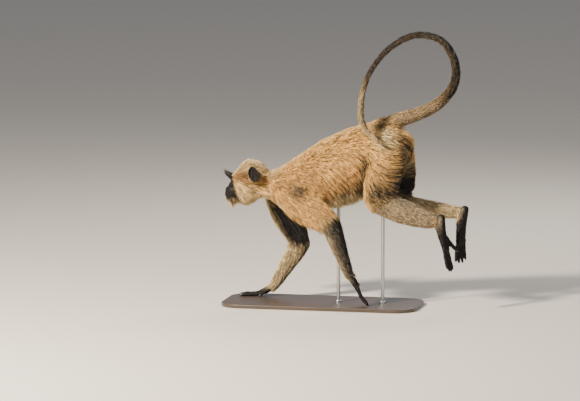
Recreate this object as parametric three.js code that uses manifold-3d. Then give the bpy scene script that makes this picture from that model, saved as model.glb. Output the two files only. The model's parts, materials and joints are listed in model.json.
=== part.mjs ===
// A grey langur monkey, life size, in mid-bound: the hind feet have left the ground, the
// right hand bears on it, the left fingertips trail, and the tail loops up over the back.
// Millimetres, +Z up. The monkey faces -X, so its left side is -Y. Every solid reaches to
// the tips of the coat. A flat base and two short rods hold the body up.

import * as THREE from "three";
import { mergeVertices } from "three/addons/utils/BufferGeometryUtils.js";
import Module from "manifold-3d";

const wasm = await Module();
wasm.setup();

// ---------------------------------------------------------------- driving dimensions

const GAP = 0.3; // clearance between neighbouring solids
const BASE = { length: 660, width: 270, thick: 12, corner: 70, centreX: -76 };
const ROD = { radius: 6, socket: 30 };
const ROD_PLACES = { front: [-22, 0, 345], rear: [128, 0, 452] }; // x, y, height of the belly there
const FLOOR = BASE.thick; // the level that the hands bear on

// Joints of the four limbs, and how full the hair of the shank is.
const LIMBS = {
  left: {
    shoulder: [-178, -52, 408],
    elbow: [-42, -100, 302],
    wrist: [28, -82, 116],
    hip: [150, -44, 548],
    knee: [112, -82, 364],
    ankle: [318, -68, 300],
    shankHair: 1.22,
    armFringe: 1,
  },
  right: {
    shoulder: [-232, 50, 376],
    elbow: [-173, 92, 202],
    wrist: [-262, 76, 44],
    hip: [148, 44, 548],
    knee: [152, 82, 331],
    ankle: [377, 69, 316],
    shankHair: 0.94,
    armFringe: 0.35,
  },
};

const HEAD = { pivot: [-290, 0, 410], yaw: 4 }; // degrees, towards its left
const EYE = { radius: 9.5, place: [-86, 18, -3] };
const EAR = { height: 56, width: 42, depth: 11, thick: 3.2, place: [-8, 60, 31] };

// ---------------------------------------------------------------- tools

const vec = (p) => new THREE.Vector3(...p);
const radians = THREE.MathUtils.degToRad;

// A closed geometry as a manifold-3d solid.
function solid(geometry) {
  const bare = new THREE.BufferGeometry();
  bare.setAttribute("position", geometry.getAttribute("position"));
  bare.setIndex(geometry.index);
  const merged = mergeVertices(bare, 1e-3);
  return new wasm.Manifold(
    new wasm.Mesh({
      numProp: 3,
      vertProperties: merged.getAttribute("position").array,
      triVerts: new Uint32Array(merged.index.array),
    }),
  );
}

// A solid's surface as a geometry.
function geometryOf(made) {
  const mesh = made.getMesh();
  const geometry = new THREE.BufferGeometry();
  geometry.setAttribute("position", new THREE.BufferAttribute(mesh.vertProperties, 3));
  geometry.setIndex(new THREE.BufferAttribute(mesh.triVerts, 1));
  return geometry;
}

const union = (solids) => solids.reduce((all, next) => all.add(next));

// Rings of points, one behind the other, closed at both ends with a fan.
function skinOver(rings) {
  const sides = rings[0].length;
  const points = rings.flat();
  const faces = [];
  for (let r = 0; r + 1 < rings.length; r++)
    for (let s = 0; s < sides; s++) {
      const a = r * sides + s;
      const b = r * sides + ((s + 1) % sides);
      faces.push(b, a, a + sides, b + sides, b, a + sides);
    }
  for (const [first, turned] of [[0, true], [(rings.length - 1) * sides, false]]) {
    const centre = new THREE.Vector3();
    for (let s = 0; s < sides; s++) centre.addScaledVector(points[first + s], 1 / sides);
    points.push(centre);
    for (let s = 0; s < sides; s++) {
      const [a, b] = [first + s, first + ((s + 1) % sides)];
      faces.push(...(turned ? [a, b, points.length - 1] : [b, a, points.length - 1]));
    }
  }
  const geometry = new THREE.BufferGeometry().setFromPoints(points);
  geometry.setIndex(faces);
  return geometry;
}

// Flesh along a smooth line. A station is { at, wide, top, bottom }: its place and its
// half width and its reach above and below the line. "top" is the front of a limb that
// hangs down, and the back of a body that runs towards -X.
function flesh(stations, { sides = 14, steps = 3, domes = [0.7, 0.7], grow = 0, square = 2 } = {}) {
  const line = new THREE.CatmullRomCurve3(stations.map((s) => vec(s.at)), false, "centripetal");
  const sizes = new THREE.CatmullRomCurve3(
    stations.map((s) => new THREE.Vector3(s.wide, s.top, s.bottom ?? s.top)),
    false,
    "centripetal",
  );
  const spans = (stations.length - 1) * steps;
  const rings = [];
  const addRing = (t, scale, shift) => {
    const forward = line.getTangent(t);
    const side = new THREE.Vector3(0, 1, 0).addScaledVector(forward, -forward.y).normalize();
    const up = new THREE.Vector3().crossVectors(side, forward);
    const centre = line.getPoint(t).addScaledVector(forward, shift);
    const size = sizes.getPoint(t);
    const ring = [];
    for (let s = 0; s < sides; s++) {
      const angle = (2 * Math.PI * (s + 0.5)) / sides;
      const [c, n] = [Math.cos(angle), Math.sin(angle)];
      const round = (x) => Math.sign(x) * Math.abs(x) ** (2 / square);
      const tall = n > 0 ? size.y : size.z;
      ring.push(
        centre
          .clone()
          .addScaledVector(side, (size.x + grow) * scale * round(c))
          .addScaledVector(up, (tall + grow) * scale * round(n)),
      );
    }
    rings.push(ring);
  };
  // A dome's rings shrink as a quarter circle does.
  const domeAngles = [72, 38].map(radians);
  const reach = (t, dome) => {
    const size = sizes.getPoint(t);
    return dome * Math.min(size.x, (size.y + size.z) / 2) + grow;
  };
  if (domes[0]) for (const a of domeAngles) addRing(0, Math.cos(a), -Math.sin(a) * reach(0, domes[0]));
  for (let i = 0; i <= spans; i++) addRing(i / spans, 1, 0);
  if (domes[1])
    for (const a of domeAngles.toReversed()) addRing(1, Math.cos(a), Math.sin(a) * reach(1, domes[1]));
  return skinOver(rings);
}

// What lies beyond a point, in a direction, of a solid, less half the gap.
function beyond(made, point, direction) {
  const reach = 900;
  const box = new THREE.BoxGeometry(reach, reach, reach);
  const away = direction.clone().normalize();
  const turn = new THREE.Quaternion().setFromUnitVectors(new THREE.Vector3(0, 0, 1), away);
  const place = point.clone().addScaledVector(away, reach / 2 + GAP / 2);
  box.applyMatrix4(new THREE.Matrix4().compose(place, turn, new THREE.Vector3(1, 1, 1)));
  return made.intersect(solid(box));
}

// A solid parted across its line at some places: [[point, direction], ...] from its start.
function partedAt(made, cuts) {
  const pieces = [];
  let rest = made;
  for (const [point, direction] of cuts) {
    pieces.push(beyond(rest, point, direction.clone().negate()));
    rest = beyond(rest, point, direction);
  }
  return [...pieces, rest];
}

// The largest single body of a solid, without the slivers that a cut may leave.
const largest = (made) => made.decompose().sort((a, b) => b.volume() - a.volume())[0];

// ---------------------------------------------------------------- finishes

const finish = (color, roughness) => new THREE.MeshStandardMaterial({ color, roughness, metalness: 0 });
const GOLDEN_COAT = finish(0xb08e62, 0.9);
const PALE_COAT = finish(0xd2bf9a, 0.9);
const GREY_COAT = finish(0x9a8c76, 0.9);
const BARE_SKIN = finish(0x1d1a1a, 0.55);
const EYE_GLOSS = finish(0x3a2210, 0.1);
const STAND_PAINT = finish(0x4b4a48, 0.5);
const STAND_STEEL = new THREE.MeshStandardMaterial({ color: 0x8b8d90, roughness: 0.35, metalness: 1 });

// ---------------------------------------------------------------- trunk

const TRUNK = [
  { at: [206, 0, 554], wide: 52, top: 36, bottom: 74 },
  { at: [172, 0, 552], wide: 72, top: 62, bottom: 88 },
  { at: [112, 0, 540], wide: 80, top: 84, bottom: 112 },
  { at: [45, 0, 510], wide: 76, top: 96, bottom: 134 },
  { at: [-32, 0, 468], wide: 78, top: 101, bottom: 136 },
  { at: [-105, 0, 424], wide: 80, top: 97, bottom: 116 },
  { at: [-170, 0, 392], wide: 74, top: 88, bottom: 94 },
  { at: [-222, 0, 380], wide: 56, top: 74, bottom: 70 },
];
const trunkShape = { sides: 16, steps: 1, domes: [0.5, 0.4] };
const trunkWhole = solid(flesh(TRUNK, trunkShape));
const trunkGrown = solid(flesh(TRUNK, { ...trunkShape, grow: GAP }));

// ---------------------------------------------------------------- head and neck

const headFrame = new THREE.Matrix4()
  .makeRotationZ(radians(HEAD.yaw))
  .setPosition(...HEAD.pivot);
const inHead = (geometry) => solid(geometry.applyMatrix4(headFrame));

// Cranium, with the crown's hair above and the cheek whiskers at the sides and below.
const SKULL = [
  { at: [30, 0, 18], wide: 34, top: 25, bottom: 46 },
  { at: [8, 0, 10], wide: 53, top: 56, bottom: 66 },
  { at: [-18, 0, 4], wide: 60, top: 78, bottom: 78 },
  { at: [-46, 0, 0], wide: 60, top: 71, bottom: 84 },
  { at: [-70, 0, -8], wide: 53, top: 60, bottom: 80 },
  { at: [-90, 0, -14], wide: 38, top: 42, bottom: 66 },
];
const skullShape = { sides: 18, steps: 2, domes: [0.6, 0.3], square: 2.2 };
// The bare muzzle, from between the eyes down to the lips.
const MUZZLE = [
  { at: [-70, 0, -30], wide: 32, top: 34, bottom: 44 },
  { at: [-90, 0, -36], wide: 27, top: 30, bottom: 36 },
  { at: [-106, 0, -43], wide: 20, top: 20, bottom: 24 },
  { at: [-113, 0, -45], wide: 16, top: 15, bottom: 18 },
];
// The visor of long black brow hairs.
const VISOR = [
  { at: [-80, 0, 8], wide: 34, top: 9, bottom: 9 },
  { at: [-100, 0, 18], wide: 33, top: 6, bottom: 6 },
  { at: [-122, 0, 34], wide: 24, top: 2, bottom: 2 },
];

function ellipsoid(place, radii) {
  const ball = new THREE.SphereGeometry(1, 12, 8);
  ball.scale(...radii);
  return ball.translate(...place);
}
const onBothSides = (make) => [-1, 1].map((side) => make(side));

function headSolid() {
  const brow = inHead(ellipsoid([-88, 0, 7], [18, 34, 12]));
  const beard = inHead(ellipsoid([-72, 0, -74], [36, 26, 20]));
  const nose = inHead(ellipsoid([-111, 0, -30], [8, 12, 9]));
  const parts = [
    inHead(flesh(SKULL, skullShape)),
    inHead(flesh(MUZZLE, { sides: 16, steps: 1, domes: [0, 0.5] })),
    inHead(flesh(VISOR, { sides: 10, steps: 1, domes: [0, 0.9] })),
    beard,
    brow,
    nose,
  ];
  const hollows = onBothSides((side) =>
    inHead(ellipsoid([-108, 25 * side, -4], [18, 18, 12])),
  );
  const sockets = onBothSides((side) =>
    inHead(new THREE.SphereGeometry(EYE.radius + GAP, 10, 8).translate(...eyePlace(side))),
  );
  return [...hollows, ...sockets].reduce((left, cut) => left.subtract(cut), union(parts));
}
const eyePlace = (side) => [EYE.place[0], EYE.place[1] * side, EYE.place[2]];

function eyeSolid(side) {
  return inHead(new THREE.SphereGeometry(EYE.radius, 10, 8).translate(...eyePlace(side)));
}

// An ear is a thin oval dish that opens outwards and forwards.
function earSolid(side) {
  const { height, depth, thick } = EAR;
  const radius = height / 2;
  const profile = [
    [0, -thick],
    [radius * 0.5, -thick],
    [radius * 0.84, depth * 0.4 - thick],
    [radius, depth],
    [radius * 0.86, depth],
    [radius * 0.68, depth * 0.4],
    [radius * 0.4, thick * 0.3],
    [0, thick * 0.3],
  ].map(([r, h]) => new THREE.Vector2(r, h));
  const ear = new THREE.LatheGeometry(profile, 12);
  ear.scale(EAR.width / height, 1, 1);
  ear.rotateX(Math.PI / 2); // the dish opens towards +Z before, +-Y after
  const opening = new THREE.Vector3(-0.4, 0.91 * side, 0.08).normalize();
  const tall = new THREE.Vector3(-0.5, 0, 0.87);
  tall.addScaledVector(opening, -tall.dot(opening)).normalize();
  const across = new THREE.Vector3().crossVectors(tall, opening);
  const [x, y, z] = EAR.place;
  const place = new THREE.Matrix4().makeBasis(across, tall, opening).setPosition(x, y * side, z);
  return inHead(ear.applyMatrix4(place));
}

const NECK = [
  { at: [-175, 0, 400], wide: 56, top: 62, bottom: 66 },
  { at: [-215, 0, 398], wide: 54, top: 51, bottom: 62 },
  { at: [-250, 0, 402], wide: 50, top: 43, bottom: 58 },
  { at: [-282, 0, 408], wide: 44, top: 38, bottom: 50 },
];

// ---------------------------------------------------------------- limbs

// Sizes of a limb at its joints and between: how far along, then half width, front, back,
// and how far long hair can hang in front of it.
const ARM_SIZES = [
  { along: 0, wide: 36, top: 58, bottom: 46, fringe: 26 },
  { along: 0.5, wide: 32, top: 56, bottom: 40, fringe: 31 },
  { along: 0.85, wide: 28, top: 46, bottom: 40, fringe: 21 },
  { along: 1.05, wide: 27, top: 34, bottom: 42, fringe: 6 },
  { along: 1.2, wide: 27, top: 28, bottom: 40 },
  { along: 1.45, wide: 25, top: 26, bottom: 33 },
  { along: 1.7, wide: 20, top: 22, bottom: 26 },
  { along: 2, wide: 18, top: 17, bottom: 21 },
];
const LEG_SIZES = [
  { along: 0, wide: 40, top: 72, bottom: 68 },
  { along: 0.25, wide: 42, top: 68, bottom: 78 },
  { along: 0.5, wide: 41, top: 58, bottom: 80 },
  { along: 0.75, wide: 37, top: 50, bottom: 70 },
  { along: 0.95, wide: 33, top: 41, bottom: 54 },
  { along: 1.12, wide: 30, top: 38, bottom: 43 },
  { along: 1.45, wide: 27, top: 40, bottom: 36 },
  { along: 1.75, wide: 22, top: 33, bottom: 29 },
  { along: 2, wide: 18, top: 26, bottom: 22 },
];

const limbShape = { sides: 12, steps: 1, domes: [0.5, 0] };

// A place on a limb's bones: 0 at the first joint, 1 at the second, 2 at the third.
function onBones(joints, along) {
  const bone = Math.min(Math.floor(along), 1);
  return vec(joints[bone]).lerp(vec(joints[bone + 1]), along - bone);
}

function limb(joints, sizes, lowerHair, frontHair, options) {
  const stations = sizes.map(({ along, wide, top, bottom, fringe = 0 }) => {
    const full = THREE.MathUtils.lerp(1, lowerHair, THREE.MathUtils.smoothstep(along, 0.9, 1.4));
    const front = top * full + fringe * frontHair;
    return { at: onBones(joints, along).toArray(), wide, top: front, bottom: bottom * full };
  });
  return solid(flesh(stations, options));
}

// Parts a limb across its middle joint, halfway between the two bones' directions.
function partedAtJoint(made, [first, middle, last]) {
  const upper = vec(middle).sub(vec(first)).normalize();
  const lower = vec(last).sub(vec(middle)).normalize();
  return partedAt(made, [[vec(middle), upper.add(lower)]]);
}

// A hand's or foot's own frame: where it joins the limb, the way its digits point, and the
// way its back faces.
function extremityFrame(place, pointing, back) {
  const along = vec(pointing).normalize();
  const up = vec(back).addScaledVector(along, -vec(back).dot(along)).normalize();
  const side = new THREE.Vector3().crossVectors(up, along);
  return { place: vec(place), along, up, side };
}
const inFrame = (frame, [a, s, u]) =>
  frame.place
    .clone()
    .addScaledVector(frame.along, a)
    .addScaledVector(frame.side, s)
    .addScaledVector(frame.up, u);

// A tube of round sections through the given places, each with its own radii.
function tube(frame, places, radii, sides = 5) {
  const line = new THREE.CatmullRomCurve3(places, false, "centripetal");
  const steps = places.length - 1;
  const rings = [];
  const addRing = (t, scale, shift) => {
    const forward = line.getTangent(t);
    const side = frame.side.clone().addScaledVector(forward, -frame.side.dot(forward)).normalize();
    const up = new THREE.Vector3().crossVectors(side, forward);
    const centre = line.getPoint(t).addScaledVector(forward, shift);
    const at = t * (radii.length - 1);
    const first = Math.min(Math.floor(at), radii.length - 2);
    const wide = THREE.MathUtils.lerp(radii[first][0], radii[first + 1][0], at - first);
    const tall = THREE.MathUtils.lerp(radii[first][1], radii[first + 1][1], at - first);
    const ring = [];
    for (let s = 0; s < sides; s++) {
      const angle = (2 * Math.PI * (s + 0.5)) / sides;
      ring.push(
        centre
          .clone()
          .addScaledVector(side, wide * scale * Math.cos(angle))
          .addScaledVector(up, tall * scale * Math.sin(angle)),
      );
    }
    rings.push(ring);
  };
  const [start, end] = [radii[0][1], radii.at(-1)[1]];
  addRing(0, 0.5, -start * 0.8);
  for (let i = 0; i <= steps; i++) addRing(i / steps, 1, 0);
  addRing(1, 0.75, end * 0.6);
  addRing(1, 0.3, end * 0.95);
  return solid(skinOver(rings));
}

// A finger or toe: three bones from its knuckle, each bent further towards the palm.
function digit(frame, { knuckle, bones, bends, splay, radius, twist = 0 }) {
  const places = [inFrame(frame, knuckle)];
  let direction = frame.along.clone().applyAxisAngle(frame.up, radians(splay));
  const hinge = frame.side.clone().applyAxisAngle(frame.along, radians(twist));
  bones.forEach((length, i) => {
    direction = direction.clone().applyAxisAngle(hinge, radians(bends[i]));
    places.push(places.at(-1).clone().addScaledVector(direction, length));
  });
  const radii = [1.12, 1, 0.92, 0.76].map((r) => [radius * r, radius * r * 0.94]);
  return tube(frame, places, radii);
}

// Four digits in a row and a short one on the inner side, on a flat palm or sole.
function extremity(frame, { palm, row, inner }) {
  const body = tube(
    frame,
    palm.map((p) => inFrame(frame, p.at)),
    palm.map((p) => [p.wide, p.tall]),
    10,
  );
  return union([body, ...row.map((d) => digit(frame, d)), digit(frame, inner)]);
}

// inward is 1 where the frame's side axis points at the body's middle, and -1 where away.
function handShape(inward, bends) {
  const lengths = [26, 21, 14];
  const spread = [16, 5.5, -5, -14.5];
  const scales = [0.9, 1, 0.98, 0.82];
  return {
    palm: [
      { at: [-6, 0, 0], wide: 15, tall: 13 },
      { at: [18, 0, -1], wide: 18, tall: 11.5 },
      { at: [40, 0, -1], wide: 21, tall: 10 },
      { at: [58, 0, 0], wide: 19, tall: 8 },
    ],
    row: spread.map((s, i) => ({
      knuckle: [56, s * inward, 0],
      bones: lengths.map((length) => length * scales[i]),
      bends,
      splay: s * inward * 0.5,
      radius: 6.4,
    })),
    inner: {
      knuckle: [18, 15 * inward, -3],
      bones: [14, 11, 8],
      bends: [6, 6, 6],
      splay: 30 * inward,
      radius: 5.2,
    },
  };
}

function footShape(inward, bends) {
  const lengths = [31, 23, 16];
  const spread = [12, 3, -7, -16];
  const scales = [0.92, 1, 1, 0.88];
  return {
    palm: [
      { at: [-10, 0, -16], wide: 16, tall: 15 },
      { at: [12, 0, -9], wide: 19, tall: 21 },
      { at: [44, 0, -9], wide: 21, tall: 17 },
      { at: [80, -1 * inward, -12], wide: 22, tall: 13 },
      { at: [106, -2 * inward, -13], wide: 20, tall: 10 },
    ],
    row: spread.map((s, i) => ({
      knuckle: [102 - 2 * i, s * inward, -13],
      bones: lengths.map((length) => length * scales[i]),
      bends,
      splay: s * inward * 0.45,
      radius: 6.6,
    })),
    inner: {
      knuckle: [66, 15 * inward, -17],
      bones: [22, 17, 13],
      bends: [18, 8, 8],
      splay: 20 * inward,
      radius: 8,
    },
  };
}

const EXTREMITIES = {
  left_hand: {
    frame: extremityFrame([32, -82, 116], [0.51, 0.02, -0.86], [-0.86, -0.16, -0.51]),
    shape: handShape(-1, [-8, 12, 14]),
  },
  right_hand: {
    frame: extremityFrame(LIMBS.right.wrist, [-0.9, 0.02, -0.42], [-0.42, 0, 0.9]),
    shape: handShape(1, [-18, -6, 1]),
  },
  left_foot: {
    frame: extremityFrame([322, -68, 304], [0.2, -0.02, -0.98], [-0.96, 0.22, -0.2]),
    shape: footShape(-1, [0, 2, 4]),
  },
  right_foot: {
    frame: extremityFrame([380, 68, 321], [-0.09, -0.1, -0.99], [-0.78, 0.62, 0]),
    shape: footShape(1, [2, 6, 8]),
  },
};

// ---------------------------------------------------------------- tail

// The tail's line: back from the rump, up and over in a wide loop, and down beside the
// left hip. It leans further to the left as it comes round.
const TAIL_LINE = [
  [118, 0, 608],
  [182, 0, 628],
  [244, -1, 648],
  [316, -5, 686],
  [369, -12, 754],
  [370, -20, 828],
  [329, -36, 896],
  [250, -54, 915],
  [169, -72, 876],
  [104, -90, 798],
  [75, -100, 708],
  [80, -110, 622],
  [134, -126, 566],
];
// Radius of the tail, coat included, at even steps from root to tip.
const TAIL_RADII = [30, 26, 23, 19.5, 16, 14.5, 13.5, 12.5, 11.5, 10.5, 10.5, 12, 8];
const TAIL_PIECES = 5;

function tailPieces() {
  const line = new THREE.CatmullRomCurve3(TAIL_LINE.map(vec), false, "centripetal");
  const stations = TAIL_LINE.map((at, i) => ({ at, wide: TAIL_RADII[i], top: TAIL_RADII[i] }));
  const whole = flesh(stations, { sides: 8, steps: 2, domes: [0, 1.6] });
  const cuts = [];
  for (let i = 1; i < TAIL_PIECES; i++)
    cuts.push([line.getPointAt(i / TAIL_PIECES), line.getTangentAt(i / TAIL_PIECES)]);
  return tailParted(solid(whole).subtract(trunkGrown), cuts);
}

// A plane cuts the loop twice, so each piece is cut out between its two planes and the
// body nearest its own middle is kept.
function tailParted(whole, cuts) {
  const line = new THREE.CatmullRomCurve3(TAIL_LINE.map(vec), false, "centripetal");
  return Array.from({ length: TAIL_PIECES }, (_, i) => {
    let piece = whole;
    if (i > 0) piece = beyond(piece, ...cuts[i - 1]);
    if (i < cuts.length) piece = beyond(piece, cuts[i][0], cuts[i][1].clone().negate());
    const middle = line.getPointAt((i + 0.5) / TAIL_PIECES);
    const distance = (body) => {
      const { min, max } = body.boundingBox();
      return vec(min).add(vec(max)).multiplyScalar(0.5).distanceTo(middle);
    };
    return piece.decompose().sort((a, b) => distance(a) - distance(b))[0];
  });
}

// ---------------------------------------------------------------- stand

function standBase() {
  const { length, width, thick, corner, centreX } = BASE;
  const [x, y] = [length / 2, width / 2];
  const outline = new THREE.Shape();
  outline.moveTo(-x + corner, -y);
  outline.lineTo(x - corner, -y);
  outline.absarc(x - corner, -y + corner, corner, -Math.PI / 2, 0);
  outline.absarc(x - corner, y - corner, corner, 0, Math.PI / 2);
  outline.absarc(-x + corner, y - corner, corner, Math.PI / 2, Math.PI);
  outline.absarc(-x + corner, -y + corner, corner, Math.PI, 1.5 * Math.PI);
  const bevel = 2;
  const plate = new THREE.ExtrudeGeometry(outline, {
    depth: thick - 2 * bevel,
    bevelThickness: bevel,
    bevelSize: bevel,
    bevelOffset: -bevel,
    bevelSegments: 1,
    curveSegments: 4,
  });
  return solid(plate.translate(centreX, 0, bevel));
}

// A rod stands on the base and ends in a blind socket in the belly.
function standRod([x, y, belly], grow = 0) {
  const height = belly + ROD.socket - FLOOR - 2 * GAP + 2 * grow;
  const rod = new THREE.CylinderGeometry(ROD.radius + grow, ROD.radius + grow, height, 12);
  rod.rotateX(Math.PI / 2);
  return solid(rod.translate(x, y, FLOOR + GAP - grow + height / 2));
}

// ---------------------------------------------------------------- the whole

const rodSockets = union(Object.values(ROD_PLACES).map((place) => standRod(place, GAP)));

const trunkAxis = new THREE.CatmullRomCurve3(TRUNK.map((s) => vec(s.at)), false, "centripetal");
const trunkCuts = [0.36, 0.66].map((t) => [trunkAxis.getPoint(t), trunkAxis.getTangent(t)]);
const headGrown = inHead(flesh(SKULL, { ...skullShape, grow: GAP }));
const [rump, belly, chest] = partedAt(
  trunkWhole.subtract(rodSockets).subtract(headGrown),
  trunkCuts,
);

const head = headSolid();
const neckShape = { sides: 14, steps: 1, domes: [0, 0.5] };
const neck = largest(solid(flesh(NECK, neckShape)).subtract(trunkGrown).subtract(headGrown));
const neckGrown = solid(flesh(NECK, { ...neckShape, grow: GAP }));

const monkey = new THREE.Group();
function addNode(parent, name, made, material, pivot = [0, 0, 0]) {
  const geometry = geometryOf(made).translate(...pivot.map((p) => -p));
  const mesh = new THREE.Mesh(geometry, material);
  mesh.name = name;
  mesh.position.set(...pivot);
  parent.add(mesh);
}

addNode(monkey, "chest", chest, GOLDEN_COAT, LIMBS.left.shoulder);
addNode(monkey, "belly", belly, GOLDEN_COAT, TRUNK[4].at);
addNode(monkey, "rump", rump, GOLDEN_COAT, TRUNK[1].at);
addNode(monkey, "neck", neck, GOLDEN_COAT, NECK[1].at);

const headGroup = new THREE.Group();
monkey.add(headGroup);
addNode(headGroup, "head", head, PALE_COAT, HEAD.pivot);
for (const [name, side] of [["left", -1], ["right", 1]]) {
  addNode(headGroup, name + "_eye", eyeSolid(side), EYE_GLOSS, HEAD.pivot);
  addNode(headGroup, name + "_ear", largest(earSolid(side).subtract(headGrown)), BARE_SKIN, HEAD.pivot);
}

const onFloor = (made) => beyond(made, new THREE.Vector3(0, 0, FLOOR + GAP / 2), new THREE.Vector3(0, 0, 1));

for (const name of ["left", "right"]) {
  const bones = LIMBS[name];
  const arm = [bones.shoulder, bones.elbow, bones.wrist];
  const leg = [bones.hip, bones.knee, bones.ankle];
  for (const [parts, joints, sizes, end] of [
    [["upper_arm", "forearm"], arm, ARM_SIZES, "hand"],
    [["thigh", "shank"], leg, LEG_SIZES, "foot"],
  ]) {
    const group = new THREE.Group();
    monkey.add(group);
    const { frame, shape } = EXTREMITIES[name + "_" + end];
    const whole = limb(joints, sizes, end === "foot" ? bones.shankHair : 1, bones.armFringe, limbShape);
    const cutPlane = [vec(joints[2]), vec(joints[2]).sub(vec(joints[1])).normalize()];
    const bare = extremity(frame, shape);
    const tip = largest(onFloor(beyond(bare, cutPlane[0], cutPlane[1])));
    const sleeve = beyond(whole, cutPlane[0], cutPlane[1].clone().negate());
    const free = sleeve.subtract(trunkGrown).subtract(neckGrown).subtract(headGrown);
    const [upper, lower] = partedAtJoint(free, joints).map(largest);
    addNode(group, `${name}_${parts[0]}`, upper, GOLDEN_COAT, joints[0]);
    addNode(group, `${name}_${parts[1]}`, lower, GREY_COAT, joints[1]);
    addNode(group, `${name}_${end}`, tip, BARE_SKIN, joints[2]);
  }
}

const tailGroup = new THREE.Group();
monkey.add(tailGroup);
tailPieces().forEach((piece, i) =>
  addNode(tailGroup, `tail_${i + 1}`, piece, GREY_COAT, TAIL_LINE[0]),
);

const stand = new THREE.Group();
monkey.add(stand);
addNode(stand, "stand_base", standBase(), STAND_PAINT);
for (const [name, place] of Object.entries(ROD_PLACES))
  addNode(stand, `stand_rod_${name}`, standRod(place), STAND_STEEL);

// The row's origin is under the middle of the whole, on the floor.
const bounds = new THREE.Box3().setFromObject(monkey);
const middle = bounds.getCenter(new THREE.Vector3());
monkey.position.set(-middle.x, -middle.y, -bounds.min.z);

export default monkey;
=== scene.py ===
# A life-size museum model of a grey langur in mid-bound, on a plain stand.
# One skin covers flesh and bone, the coat lies over it in locks of hair, and the eyes,
# nails, brow hairs and stand are pieces of their own.

import json
import math

import bmesh
import bpy
import numpy as np
from mathutils import Matrix, Vector
from mathutils.bvhtree import BVHTree
from mathutils.kdtree import KDTree

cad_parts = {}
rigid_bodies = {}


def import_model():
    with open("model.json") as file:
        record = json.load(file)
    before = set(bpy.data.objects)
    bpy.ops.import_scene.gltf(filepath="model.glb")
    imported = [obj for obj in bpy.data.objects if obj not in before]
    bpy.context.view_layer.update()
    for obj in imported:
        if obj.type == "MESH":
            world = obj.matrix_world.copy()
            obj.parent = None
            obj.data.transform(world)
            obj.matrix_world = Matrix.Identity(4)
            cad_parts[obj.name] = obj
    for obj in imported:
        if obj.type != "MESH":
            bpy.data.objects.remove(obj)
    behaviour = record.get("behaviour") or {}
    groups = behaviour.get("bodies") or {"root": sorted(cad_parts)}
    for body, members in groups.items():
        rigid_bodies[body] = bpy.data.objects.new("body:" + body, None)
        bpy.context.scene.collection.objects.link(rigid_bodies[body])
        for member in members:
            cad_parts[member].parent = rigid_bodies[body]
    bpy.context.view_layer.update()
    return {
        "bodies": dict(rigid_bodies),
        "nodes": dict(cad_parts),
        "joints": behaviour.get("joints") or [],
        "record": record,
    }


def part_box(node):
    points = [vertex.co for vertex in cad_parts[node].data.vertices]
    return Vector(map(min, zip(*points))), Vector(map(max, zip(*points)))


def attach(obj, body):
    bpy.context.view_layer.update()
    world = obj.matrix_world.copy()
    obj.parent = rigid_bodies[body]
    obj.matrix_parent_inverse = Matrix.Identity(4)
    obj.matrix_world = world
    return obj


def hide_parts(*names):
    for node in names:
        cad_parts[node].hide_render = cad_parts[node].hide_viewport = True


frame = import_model()
nodes = frame["nodes"]


# ---------------------------------------------------------------- the set
# A pale floor under soft lamps, and a long lens that looks at the monkey's left side from
# a little behind and above it.

def deselect():
    if bpy.context.object and bpy.context.object.mode != "OBJECT":
        bpy.ops.object.mode_set(mode="OBJECT")
    bpy.ops.object.select_all(action="DESELECT")


class Socket:
    """A shader socket that adds a Math node for each operator used on it."""

    def __init__(self, tree, out):
        self.tree, self.out = tree, out

    def _math(self, operation, *values):
        return node(self.tree, "Math", {"operation": operation}, dict(enumerate(values)))

    def __add__(self, other):
        return self._math("ADD", self, other)

    def __sub__(self, other):
        return self._math("SUBTRACT", self, other)

    def __rsub__(self, other):
        return self._math("SUBTRACT", other, self)

    def __mul__(self, other):
        return self._math("MULTIPLY", self, other)

    __radd__, __rmul__ = __add__, __mul__


def node(tree, kind, settings=None, inputs=None, out=0):
    """Adds a shader node: its settings first, then values or links for its sockets."""
    made = tree.nodes.new("ShaderNode" + kind)
    for key, value in (settings or {}).items():
        if key == "stops":
            elements = made.color_ramp.elements
            while len(elements) < len(value):
                elements.new(0.5)
            for element, (position, tint) in zip(elements, value):
                element.position, element.color = position, (*tint, 1)
        else:
            setattr(made, key, value)
    for key, value in (inputs or {}).items():
        if isinstance(value, Socket):
            tree.links.new(value.out, made.inputs[key])
        else:
            made.inputs[key].default_value = value
    return Socket(tree, made.outputs[out])


def new_material(name, **principled):
    """A Principled material with these values on its own sockets, and its node tree."""
    material = bpy.data.materials.new(name)
    material.use_nodes = True
    tree = material.node_tree
    shader = tree.nodes["Principled BSDF"]
    for key, value in principled.items():
        shader.inputs[key.replace("_", " ")].default_value = value
    return material, tree, shader


def mix(tree, amount, first, second):
    """Two colours mixed by an amount."""
    settings = {"data_type": "RGBA", "blend_type": "MIX"}
    return node(tree, "Mix", settings, {0: amount, 6: first, 7: second}, out=2)


def colour(r, g, b):
    return (r, g, b, 1.0)


deselect()
bpy.ops.mesh.primitive_plane_add(size=80, location=(0, 0, -0.0004))
floor = bpy.context.object
floor.name = "floor"
floor_paper, tree, shader = new_material("pale paper", Roughness=0.85)
grain = node(tree, "TexNoise", None, {"Scale": 9.0, "Detail": 3.0})
paper = mix(tree, grain * 0.35, colour(0.62, 0.57, 0.5), colour(0.57, 0.52, 0.46))
tree.links.new(paper.out, shader.inputs["Base Color"])
floor.data.materials.append(floor_paper)

world = bpy.data.worlds.new("studio")
bpy.context.scene.world = world
world.use_nodes = True
world.node_tree.nodes["Background"].inputs["Color"].default_value = colour(0.86, 0.9, 1.0)
world.node_tree.nodes["Background"].inputs["Strength"].default_value = 0.34

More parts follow.
